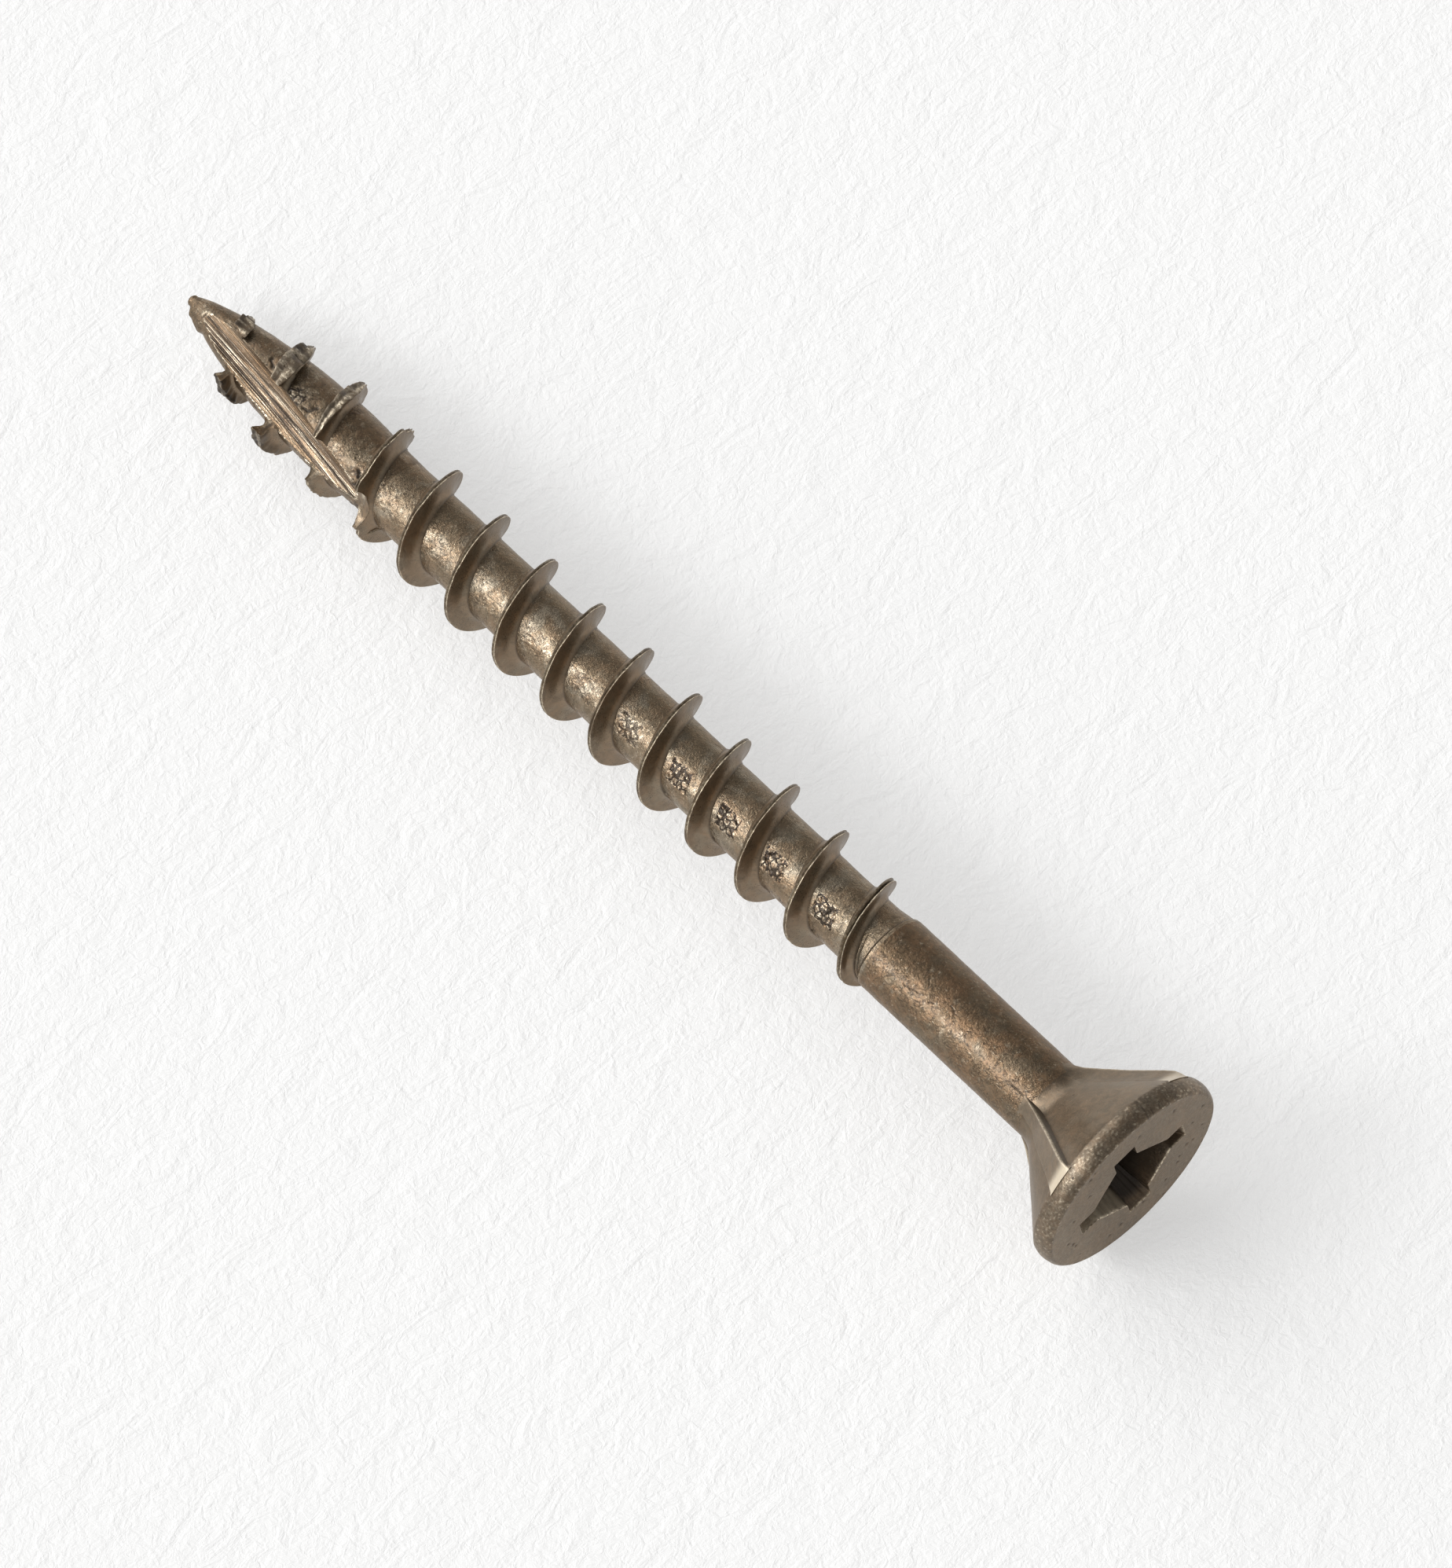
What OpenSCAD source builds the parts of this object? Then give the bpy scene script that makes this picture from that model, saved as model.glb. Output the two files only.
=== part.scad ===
// Flat-head wood screw, number 6 by 1-5/8 inch, with a square-and-cross recess,
// four nibs under the head, a coarse thread and a slotted self-drilling point.
// The axis lies along X. The origin is the centre of the flat face of the head,
// +X points out of that face, and the tip is at -X. All sizes are in millimetres.
// Places along the screw are depths, measured from the face towards the tip.

/* [Overall] */
// Length from the flat face of the head to the tip
screw_length = 41.2; // [36:0.2:60]
// Diameter of the smooth shank
shank_d = 2.58; // [2.4:0.02:2.8]
// Depth at which the smooth shank ends
shank_end = 10.2; // [8:0.2:14]
// Length of the tapered collar between the shank and the threaded core
collar_length = 1.2; // [0.8:0.1:2]

/* [Head] */
// Diameter over the rim of the head
head_d = 6.92; // [6.6:0.02:7.2]
// Diameter of the flat face inside the rounded rim
face_d = 6.6; // [6.2:0.02:6.6]
// Included angle of the countersunk underside, in degrees
head_angle = 82; // [80:1:90]
// Depth of the widest part of the rim
rim_depth = 0.42; // [0.3:0.02:0.5]
// Depth at which the rim turns into the cone
cone_start = 0.66; // [0.56:0.02:0.8]
// Radius of the fillet between the cone and the shank
neck_fillet = 1.0; // [0.6:0.1:1.2]

/* [Recess] */
// Distance across the flats of the square recess at its mouth
square_flats = 2.72; // [2.6:0.02:2.8]
// Depth of the square recess
square_depth = 2.2; // [1.8:0.1:2.3]
// Distance from tip to tip of two opposite wings at the mouth
wing_span = 4.2; // [4:0.05:4.4]
// Width of a wing
wing_width = 0.84; // [0.6:0.02:0.9]
// Depth of the wings
wing_depth = 1.7; // [1.2:0.1:1.8]
// Angle of the first wing about the axis, from +Y towards +Z
wing_angle = 8.9; // [0:0.1:89]

/* [Nibs] */
// Height of a nib above the cone
nib_height = 0.24; // [0.1:0.02:0.34]
// Angle that one nib covers, in degrees
nib_sweep = 18; // [12:1:24]
// Angle of the steep side of the first nib, from +Y towards +Z
nib_angle = 35; // [0:1:89]

/* [Thread] */
// Outside diameter of the thread
thread_d = 3.58; // [3.3:0.02:3.8]
// Diameter of the core between the turns
core_d = 2.27; // [2.1:0.01:2.35]
// Distance that one turn advances
pitch = 2.1167; // [1.8:0.0001:2.6]
// Width of the flight at its foot
flight_foot = 0.72; // [0.5:0.02:0.9]
// Width of the flight at its crest
flight_crest = 0.12; // [0.08:0.02:0.2]
// Position of the crest at angle zero, which sets where every turn lies
thread_phase = 0.87; // [0:0.01:2.1]
// Facets in one turn of the thread
thread_steps = 32; // [24:4:40]

/* [Point] */
// Length of the shaped point
point_length = 9.4; // [8:0.2:12]
// Diameter of the slight swelling where the point begins
swell_d = 2.48; // [2.36:0.02:2.6]
// Diameter of the blunt tip
tip_d = 0.28; // [0.2:0.02:0.4]
// Radius of the round cutter that makes the slot
slot_r = 0.8; // [0.6:0.05:0.9]

/* [Hidden] */

$fn = 96;

shank_r = shank_d / 2;
core_r = core_d / 2;
thread_r = thread_d / 2;
head_r = head_d / 2;
cone_r = head_r - 0.05;
half_angle = head_angle / 2;

// Where the cone would meet the shank if the fillet were left out, and where the head ends
sharp_neck = cone_start + (cone_r - shank_r) / tan(half_angle);
neck_tangent = neck_fillet * tan(half_angle / 2);
head_end = sharp_neck + neck_tangent;

collar_end = shank_end + collar_length;
point_start = screw_length - point_length;
swell_at = point_start + 2.4;
ogive_length = screw_length - swell_at + 0.1;
ogive_power = 0.7;

// Depths where the thread fades out: at full height, at the collar, and at nothing
thread_full = collar_end + 1.4;
thread_low = shank_end + 0.5;
thread_gone = shank_end + 0.05;
low_r = thread_r - 0.2;
crest_taper_at = screw_length - 6.2;
crest_taper_length = 6.1;
point_thread_end = screw_length - 0.75;

// Keeps the faceted foot of the flight off the round body
foot_gap = 0.006;
coat = [0.46, 0.37, 0.28];
cut = [0.58, 0.44, 0.32];

// Turns the local Z axis onto +X, so that an angle about Z starts at +Y and rises towards +Z
module along_x() rotate([0, 90, 0]) rotate([0, 0, 90]) children();

// Radius of the plain body, without the thread, at a depth
function body_r(depth) =
    depth <= shank_end ? shank_r
    : depth < collar_end ? shank_r + (core_r - shank_r) * (depth - shank_end) / collar_length
    : depth <= point_start ? core_r
    : depth < swell_at ? core_r + (swell_d / 2 - core_r) * smooth((depth - point_start) / (swell_at - point_start))
    : swell_d / 2 * pow(max(1 - pow((depth - swell_at) / ogive_length, 2), 0.0001), ogive_power);

function smooth(t) = t * t * (3 - 2 * t);

// Radius of the crest of the thread at a depth
function crest_r(depth) =
    depth < thread_low ? mix(shank_r, low_r, (depth - thread_gone) / (thread_low - thread_gone))
    : depth < thread_full ? mix(low_r, thread_r, (depth - thread_low) / (thread_full - thread_low))
    : depth < crest_taper_at ? thread_r
    : thread_r * (1 - pow((depth - crest_taper_at) / crest_taper_length, 2));

function mix(a, b, t) = a + (b - a) * min(max(t, 0), 1);

// Points of an arc, given as [radius, height] about a centre
function arc(centre, r, from, to, steps) =
    [for (i = [0:steps]) let (a = from + (to - from) * i / steps) centre + r * [cos(a), sin(a)]];

// ---- Head ----

// The head without its recess, from the face at height 0 down to the shank
module head_blank() {
    rim = arc([head_r - 0.3, -rim_depth], 0.3, 0, 58, 4);
    fillet = arc([shank_r + neck_fillet, -head_end], neck_fillet, 180 - half_angle, 180, 6);
    rotate_extrude()
        polygon(concat([[0, 0], [face_d / 2, 0]], [for (i = [len(rim) - 1:-1:0]) rim[i]],
            [[cone_r, -cone_start]], fillet, [[0, -head_end]]));
}

// Tapered square with four flat-ended wings on its corners, and a shallow cone at the bottom
module recess() {
    mirror([0, 0, 1]) {
        rotate([0, 0, wing_angle + 45])
            linear_extrude(height = square_depth, scale = 0.82)
                square(square_flats, center = true);
        rotate([0, 0, wing_angle])
            linear_extrude(height = wing_depth, scale = 0.6) {
                square([wing_span, wing_width], center = true);
                square([wing_width, wing_span], center = true);
            }
        translate([0, 0, square_depth - 0.01]) cylinder(h = 0.4, r1 = 0.9, r2 = 0.2);
    }
    // Opens the mouth a little above the face
    rotate([0, 0, wing_angle]) linear_extrude(height = 0.2) {
        square([wing_span, wing_width], center = true);
        square([wing_width, wing_span], center = true);
        rotate([0, 0, 45]) square(square_flats, center = true);
    }
}

module head() {
    color(coat) along_x() difference() {
        head_blank();
        recess();
    }
}

// One thin radial slice of a nib: its crest stands a height above the cone
module nib_slice(height) {
    rotate([90, 0, 0]) linear_extrude(height = 0.02)
        polygon([[shank_r - 0.2, -head_end + 0.1], [shank_r + height * 0.3, -head_end + 0.1],
            [shank_r + height + 0.12, -sharp_neck + 0.08], [cone_r + height * 0.15, -cone_start],
            [cone_r - 0.3, -cone_start]]);
}

// A wedge with one steep side, whose other side falls back to the cone
module nib() {
    difference() {
        hull() {
            nib_slice(nib_height);
            rotate([0, 0, nib_sweep * 0.3]) nib_slice(nib_height * 0.7);
            rotate([0, 0, nib_sweep]) nib_slice(0);
        }
        head_blank();
    }
}

module underhead_nibs() {
    color(coat) along_x() for (i = [0:3]) rotate([0, 0, nib_angle + 90 * i]) nib();
}

// ---- Shank, collar and core ----

module shank() {
    color(coat) along_x() translate([0, 0, -shank_end]) cylinder(h = shank_end - head_end, r = shank_r);
}

module collar() {
    color(coat) along_x() translate([0, 0, -collar_end])
        cylinder(h = collar_length, r1 = core_r, r2 = shank_r);
}

module core() {
    color(coat) along_x() translate([0, 0, -point_start])
        cylinder(h = point_start - collar_end, r = core_r);
}

// ---- Point ----

module point_blank() {
    stations = 28;
    outline = [for (i = [0:stations]) let (d = point_start + point_length * i / stations)
        [max(body_r(d), tip_d / 2), -d]];
    rotate_extrude() polygon(concat([[0, -point_start]], outline, [[0, -screw_length]]));
}

// Centre of the cutter at a depth: it leans away from the axis and drifts round it towards the head
function slot_centre(depth) =
    let (t = (screw_length - 2.2 - depth) / 5.5)
    [-0.774 - 0.862 * t, 1.106 - 0.308 * t, -depth];

module slot_cutter() {
    low = slot_centre(screw_length + 1);
    high = slot_centre(point_start - 3);
    run = high - low;
    lean = atan2(norm([run[0], run[1]]), run[2]);
    translate(low) rotate([0, 0, atan2(run[1], run[0])]) rotate([0, lean, 0])
        cylinder(h = norm(run), r = slot_r, $fn = 48);
}

module point() {
    color(cut) along_x() difference() {
        point_blank();
        slot_cutter();
    }
}

// ---- Thread ----

// Depth of the crest after a number of turns from angle zero
function crest_depth(turns) = -thread_phase - pitch * turns;
function turns_at(depth) = (-thread_phase - depth) / pitch;

// One cross-section of the flight, as points around the axis at the angle of that step
function flight_ring(turns) =
    let (
        depth = crest_depth(turns),
        foot_out = 1 / cos(180 / thread_steps),
        rise = max(crest_r(depth) - body_r(depth) * foot_out - foot_gap, 0.02),
        share = min(rise / (thread_r - core_r), 1),
        half_foot = flight_foot / 2 * (0.35 + 0.65 * share),
        half_mid = mix(flight_crest / 2, half_foot, 0.36),
        half_crest = min(flight_crest / 2, half_foot * 0.5),
        foot_a = body_r(depth - half_foot) * foot_out + foot_gap,
        foot_b = body_r(depth + half_foot) * foot_out + foot_gap,
        crest = max(foot_a, foot_b) + rise
    )
    [for (p = [[foot_a, -half_foot], [mix(foot_a, crest, 0.34), -half_mid], [crest, -half_crest],
               [crest, half_crest], [mix(foot_b, crest, 0.34), half_mid], [foot_b, half_foot]])
        [p[0] * cos(360 * turns), p[0] * sin(360 * turns), -depth - p[1]]];

// A helical flight between two depths
module flight(from, to) {
    ring_size = 6;
    first = turns_at(to);
    count = ceil((turns_at(from) - first) * thread_steps);
    points = [for (i = [0:count]) each flight_ring(mix(first, turns_at(from), i / count))];
    sides = [for (i = [0:count - 1], k = [0:ring_size - 1])
        let (a = i * ring_size + k, b = i * ring_size + (k + 1) % ring_size)
        each [[a, a + ring_size, b], [b, a + ring_size, b + ring_size]]];
    near_end = [for (k = [0:ring_size - 1]) k];
    far_end = [for (k = [ring_size - 1:-1:0]) count * ring_size + k];
    polyhedron(points = points, faces = concat(sides, [near_end, far_end]), convexity = 20);
}

module thread() {
    color(coat) along_x() flight(thread_gone + 0.05, point_start);
}

module point_thread() {
    color(cut) along_x() difference() {
        flight(point_start, point_thread_end);
        slot_cutter();
    }
}

head();
underhead_nibs();
shank();
collar();
core();
point();
thread();
point_thread();
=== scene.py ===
"""Wood screw: the visual model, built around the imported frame.

The screw lies along X with the face of its head at the origin and its tip at -X. Sizes in this file are
in millimetres and angles in degrees unless a name says otherwise. A depth is measured from the face of the
head towards the tip, and an angle about the axis runs from +Y towards +Z.
"""

import logging
import math
from dataclasses import dataclass
from enum import Enum
from typing import Callable, Sequence, Union

import bmesh
import bpy
import numpy as np
from mathutils import Matrix, Vector


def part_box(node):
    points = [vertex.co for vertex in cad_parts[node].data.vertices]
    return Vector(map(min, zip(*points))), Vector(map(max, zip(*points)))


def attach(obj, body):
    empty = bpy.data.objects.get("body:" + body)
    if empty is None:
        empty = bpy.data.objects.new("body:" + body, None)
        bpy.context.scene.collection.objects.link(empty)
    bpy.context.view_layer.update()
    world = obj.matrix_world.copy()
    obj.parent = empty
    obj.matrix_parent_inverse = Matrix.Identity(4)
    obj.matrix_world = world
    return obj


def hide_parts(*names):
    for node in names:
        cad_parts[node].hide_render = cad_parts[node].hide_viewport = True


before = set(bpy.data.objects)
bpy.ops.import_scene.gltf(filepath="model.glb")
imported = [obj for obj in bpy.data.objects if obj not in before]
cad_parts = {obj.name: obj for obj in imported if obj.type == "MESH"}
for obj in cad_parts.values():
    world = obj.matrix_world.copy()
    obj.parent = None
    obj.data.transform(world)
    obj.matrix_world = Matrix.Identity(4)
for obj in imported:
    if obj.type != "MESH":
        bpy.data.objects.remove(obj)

LOG = logging.getLogger("wood_screw")
MM = 0.001
BODY = "root"
CRUMB = 40

Number = Union[float, int]


# ---------------------------------------------------------------- helpers


class Noise:
    """Smooth seeded noise in space."""

    def __init__(self, seed: int) -> None:
        """Draws the table of gradients.

        Args:
            seed: the seed of the table.
        """
        rng = np.random.default_rng(seed)
        gradients = rng.normal(size=(512, 3))
        self.gradients = gradients / np.linalg.norm(gradients, axis=1)[:, None]

    def __call__(self, points: np.ndarray, size: float) -> np.ndarray:
        """Samples the noise.

        Args:
            points: places, with their three coordinates on the last axis.
            size: the width of one feature.

        Returns:
            A value from about -0.7 to 0.7 for each place.
        """
        scaled = np.asarray(points, float) / size
        cell = np.floor(scaled).astype(np.int64)
        inside = scaled - cell
        fade = inside * inside * (3.0 - 2.0 * inside)
        total = np.zeros(inside.shape[:-1])
        for corner in np.ndindex(2, 2, 2):
            at = cell + np.array(corner)
            key = (at[..., 0] * 73856093) ^ (at[..., 1] * 19349663) ^ (at[..., 2] * 83492791)
            slope = self.gradients[key % 512]
            weight = np.prod(np.where(np.array(corner) == 1, fade, 1.0 - fade), axis=-1)
            total += weight * np.sum(slope * (inside - np.array(corner)), axis=-1)
        return total

    def rough(self, points: np.ndarray, size: float, octaves: int = 3) -> np.ndarray:
        """Sums octaves of the noise, each half as wide and half as strong.

        Args:
            points: places.
            size: the width of the widest feature.
            octaves: how many octaves are summed.

        Returns:
            A value for each place.
        """
        return sum(self(points + 7.3 * k, size / 2**k) / 2**k for k in range(octaves))


def ease(low: Number, high: Number, value: np.ndarray) -> np.ndarray:
    """Rises smoothly from 0 at low to 1 at high."""
    t = np.clip((np.asarray(value, float) - low) / (high - low), 0.0, 1.0)
    return t * t * (3.0 - 2.0 * t)


def around(depth: np.ndarray, radius: np.ndarray, angle: np.ndarray) -> np.ndarray:
    """Turns depth, radius and angle in degrees into points."""
    turn = np.radians(angle)
    return np.stack(np.broadcast_arrays(-depth, radius * np.cos(turn), radius * np.sin(turn)), axis=-1)


def bell(value: np.ndarray, centre: float, width: float) -> np.ndarray:
    """A smooth bump of height 1 about a centre."""
    return np.exp(-(((value - centre) / width) ** 2))


def scratches(depth: np.ndarray, angle: np.ndarray, radius: float, rng: np.random.Generator, count: int,
              depths: tuple[float, float], angles: tuple[float, float], sizes: tuple[float, float],
              width: float) -> np.ndarray:
    """Draws short curved scratches on a round surface.

    Args:
        depth: depths of the surface's points.
        angle: their angles.
        radius: the surface's radius.
        rng: what places the scratches.
        count: how many there are.
        depths: the depths between which they lie.
        angles: the angles between which they lie.
        sizes: the least and most half length.
        width: the half width.

    Returns:
        The mark at each point, about 1 in a scratch.
    """
    total = np.zeros(np.broadcast_shapes(depth.shape, angle.shape))
    for _ in range(count):
        at, around_at = rng.uniform(*depths), rng.uniform(*angles)
        lean, size = rng.uniform(-1.2, 1.2), rng.uniform(*sizes)
        along, side = depth - at, np.radians(angle - around_at) * radius
        reach = along * math.cos(lean) + side * math.sin(lean)
        off = -along * math.sin(lean) + side * math.cos(lean) + 0.3 * reach**2 / size
        off = off + 0.03 * np.sin(reach * 19.0 + at)
        total += bell(off, 0.0, width) * (1.0 - ease(size * 0.7, size, np.abs(reach)))
    return total


def new_object(name: str, points: np.ndarray, faces: Sequence, marks: dict[str, np.ndarray] | None = None,
               crease: float = 38.0) -> bpy.types.Object:
    """Makes a smooth-shaded mesh object at the origin.

    Args:
        name: the object's name.
        points: vertices in millimetres.
        faces: vertex indices of each face.
        marks: point attributes, one number for each vertex.
        crease: an edge bent by more than this angle stays sharp.

    Returns:
        The object, with its faces pointing outwards.
    """
    mesh = bpy.data.meshes.new(name)
    mesh.from_pydata((points * MM).tolist(), [], faces)
    for key, values in (marks or {}).items():
        mark = mesh.attributes.new(key, "FLOAT", "POINT")
        mark.data.foreach_set("value", np.ravel(values).astype(np.float32))
    piece = bpy.data.objects.new(name, mesh)
    bpy.context.scene.collection.objects.link(piece)
    finish_mesh(piece, crease)
    return piece


def finish_mesh(piece: bpy.types.Object, crease: float = 38.0) -> None:
    """Turns faces outwards, shades them smoothly and marks the creases.

    Args:
        piece: the object whose mesh is finished.
        crease: an edge bent by more than this angle stays sharp.
    """
    mesh = piece.data
    work = bmesh.new()
    work.from_mesh(mesh)
    bmesh.ops.recalc_face_normals(work, faces=work.faces)
    if work.calc_volume(signed=True) < 0:
        bmesh.ops.reverse_faces(work, faces=work.faces)
    limit = math.radians(crease)
    for edge in work.edges:
        edge.smooth = edge.calc_face_angle(0.0) < limit
    for face in work.faces:
        face.smooth = True
    work.to_mesh(mesh)
    work.free()


def skin(rings: int, around_count: int, caps: bool = True) -> list[list[int]]:
    """Faces of a closed tube whose vertices are stored ring by ring.

    Args:
        rings: number of rings.
        around_count: vertices in a ring.
        caps: whether the first and last rings are closed by a fan about two extra vertices, stored last.

    Returns:
        The faces.
    """
    first = np.arange(rings - 1)[:, None] * around_count + np.arange(around_count)[None, :]
    turn = np.roll(first, -1, axis=1)
    quads = np.stack([first, turn, turn + around_count, first + around_count], axis=-1)
    faces = quads.reshape(-1, 4).tolist()
    if caps:
        start, end = rings * around_count, rings * around_count + 1
        last = (rings - 1) * around_count
        for k in range(around_count):
            after = (k + 1) % around_count
            faces.append([start, after, k])
            faces.append([end, last + k, last + after])
    return faces


def tube(name: str, rings: np.ndarray, marks: dict[str, np.ndarray] | None = None,
         crease: float = 38.0) -> bpy.types.Object:
    """Makes a closed piece from rings of points, with a flat fan at each end.

    Args:
        name: the object's name.
        rings: points, indexed by ring and by place in the ring.
        marks: numbers for each point, indexed in the same way.
        crease: an edge bent by more than this angle stays sharp.

    Returns:
        The object.
    """
    count, places = rings.shape[:2]
    ends = [rings[0].mean(axis=0), rings[-1].mean(axis=0)]
    points = np.concatenate([rings.reshape(-1, 3), np.array(ends)])
    full = {k: np.concatenate([np.ravel(v), [v[0].mean(), v[-1].mean()]]) for k, v in (marks or {}).items()}
    return new_object(name, points, skin(count, places), full, crease)


def uneven_angles(count: int, fine_from: float, fine_to: float, share: float) -> np.ndarray:
    """Angles about the axis that stand closer together in one stretch.

    Args:
        count: how many angles.
        fine_from: where the close stretch starts.
        fine_to: where it ends.
        share: the part of the angles that the stretch holds.

    Returns:
        The angles, over one turn.
    """
    fine = int(count * share)
    near = np.linspace(fine_from, fine_to, fine, endpoint=False)
    far = np.linspace(fine_to, fine_from + 360.0, count - fine, endpoint=False)
    return np.concatenate([near, far])


# ---------------------------------------------------------------- node graphs


class Graph:
    """A node tree that is written as Python expressions."""

    def __init__(self, tree: bpy.types.NodeTree) -> None:
        """Keeps the tree.

        Args:
            tree: the node tree that nodes are added to.
        """
        self.tree = tree

    def node(self, kind: str, settings: dict | None = None, inputs: dict | None = None) -> bpy.types.Node:
        """Adds a node.

        Args:
            kind: the node's type.
            settings: properties, which are set first. The key stops gives a ramp's or curve's points.
            inputs: socket name or index to a value, a socket or a signal.

        Returns:
            The node.
        """
        made = self.tree.nodes.new(kind)
        for key, value in (settings or {}).items():
            if key == "stops":
                self._ramp(made.color_ramp, value)
            elif key == "curve":
                self._curve(made, value)
            else:
                setattr(made, key, value)
        for key, value in (inputs or {}).items():
            socket = made.inputs[key]
            if isinstance(value, Signal):
                value = value.socket
            if isinstance(value, bpy.types.NodeSocket):
                self.tree.links.new(value, socket)
            else:
                socket.default_value = value
        return made

    @staticmethod
    def _ramp(ramp: bpy.types.ColorRamp, stops: Sequence) -> None:
        """Gives a ramp its stops.

        Args:
            ramp: the ramp.
            stops: pairs of a place and a colour.
        """
        while len(ramp.elements) > 1:
            ramp.elements.remove(ramp.elements[-1])
        ramp.elements[0].position, ramp.elements[0].color = stops[0]
        for place, colour in stops[1:]:
            ramp.elements.new(place).color = colour

    @staticmethod
    def _curve(made: bpy.types.Node, points: Sequence) -> None:
        """Gives a float curve its points.

        Args:
            made: the curve's node.
            points: the points, from first to last.
        """
        curve = made.mapping.curves[0]
        curve.points[0].location, curve.points[1].location = points[0], points[-1]
        for point in points[1:-1]:
            curve.points.new(*point)
        made.mapping.use_clip = False
        made.mapping.update()

    def signal(self, socket: bpy.types.NodeSocket) -> "Signal":
        """Wraps a socket."""
        return Signal(self, socket)

    def wrinkle(self, place: bpy.types.NodeSocket, scale: float, detail: float, **more: float) -> "Signal":
        """Adds a noise texture.

        Args:
            place: where it is read.
            scale: how many features fit in one unit.
            detail: octaves.
            more: other inputs of the texture.

        Returns:
            The noise, from 0 to 1.
        """
        inputs = {"Vector": place, "Scale": scale, "Detail": detail, **more}
        return self.signal(self.node("ShaderNodeTexNoise", inputs=inputs).outputs[0])

    def vector(self, *parts: "Signal | Number") -> bpy.types.NodeSocket:
        """Joins up to three numbers to a vector, with 0 for those left out."""
        return self.node("ShaderNodeCombineXYZ", inputs=dict(enumerate(parts))).outputs[0]

    def hand_over(self, geometry: bpy.types.NodeSocket, material: bpy.types.NodeSocket) -> None:
        """Ends a geometry tree with plain geometry that has its material.

        Args:
            geometry: what the tree has made.
            material: the material that it gets.
        """
        real = self.node("GeometryNodeRealizeInstances", inputs={"Geometry": geometry})
        dressed = self.node("GeometryNodeSetMaterial",
                            inputs={"Geometry": real.outputs[0], "Material": material})
        self.node("NodeGroupOutput", inputs={0: dressed.outputs[0]})


class Signal:
    """A value in a graph. An expression on it adds Math nodes."""

    def __init__(self, graph: Graph, socket: bpy.types.NodeSocket) -> None:
        """Keeps the graph and the socket that holds the value."""
        self.graph, self.socket = graph, socket

    def math(self, operation: str, *others: "Signal | Number", first: bool = True,
             clamp: bool = False) -> "Signal":
        """Adds a Math node.

        Args:
            operation: what the node works out.
            others: the other values.
            first: whether this value is the node's first one.
            clamp: whether the result is held between 0 and 1.

        Returns:
            The result.
        """
        values = [self, *others] if first else [*others, self]
        made = self.graph.node("ShaderNodeMath", {"operation": operation, "use_clamp": clamp},
                               dict(enumerate(values)))
        return Signal(self.graph, made.outputs[0])

    def __add__(self, other: "Signal | Number") -> "Signal":
        """Sum."""
        return self.math("ADD", other)

    __radd__ = __add__

    def __mul__(self, other: "Signal | Number") -> "Signal":
        """Product."""
        return self.math("MULTIPLY", other)

    __rmul__ = __mul__

    def __sub__(self, other: "Signal | Number") -> "Signal":
        """Difference."""
        return self.math("SUBTRACT", other)

    def __rsub__(self, other: "Signal | Number") -> "Signal":
        """Difference from the other value."""
        return self.math("SUBTRACT", other, first=False)

    def __truediv__(self, other: "Signal | Number") -> "Signal":
        """Quotient."""
        return self.math("DIVIDE", other)

    def __rtruediv__(self, other: "Signal | Number") -> "Signal":
        """The other value over this one."""
        return self.math("DIVIDE", other, first=False)

    def __pow__(self, other: "Signal | Number") -> "Signal":
        """Power."""
        return self.math("POWER", other)

    def __neg__(self) -> "Signal":
        """Opposite."""
        return self.math("MULTIPLY", -1.0)

    def __abs__(self) -> "Signal":
        """Size without sign."""
        return self.math("ABSOLUTE")

    def held(self) -> "Signal":
        """The value, held between 0 and 1."""
        return self.math("ADD", 0.0, clamp=True)

    def most(self, other: "Signal | Number") -> "Signal":
        """The larger of two values."""
        return self.math("MAXIMUM", other)

    def ramp(self, low: Number, high: Number, smooth: bool = True) -> "Signal":
        """Rises from 0 at low to 1 at high.

        Args:
            low: the value that becomes 0.
            high: the value that becomes 1.
            smooth: whether the rise is eased at both ends.

        Returns:
            The new value.
        """
        kind = "SMOOTHSTEP" if smooth else "LINEAR"
        made = self.graph.node("ShaderNodeMapRange", {"interpolation_type": kind},
                               {"Value": self, "From Min": low, "From Max": high})
        return Signal(self.graph, made.outputs["Result"])

    def ramp_between(self, low: "Signal", high: "Signal") -> "Signal":
        """Rises smoothly from 0 at one signal's value to 1 at another's."""
        made = self.graph.node("ShaderNodeMapRange", {"interpolation_type": "SMOOTHSTEP"},
                               {"Value": self, "From Min": low, "From Max": high})
        return Signal(self.graph, made.outputs["Result"])


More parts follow.
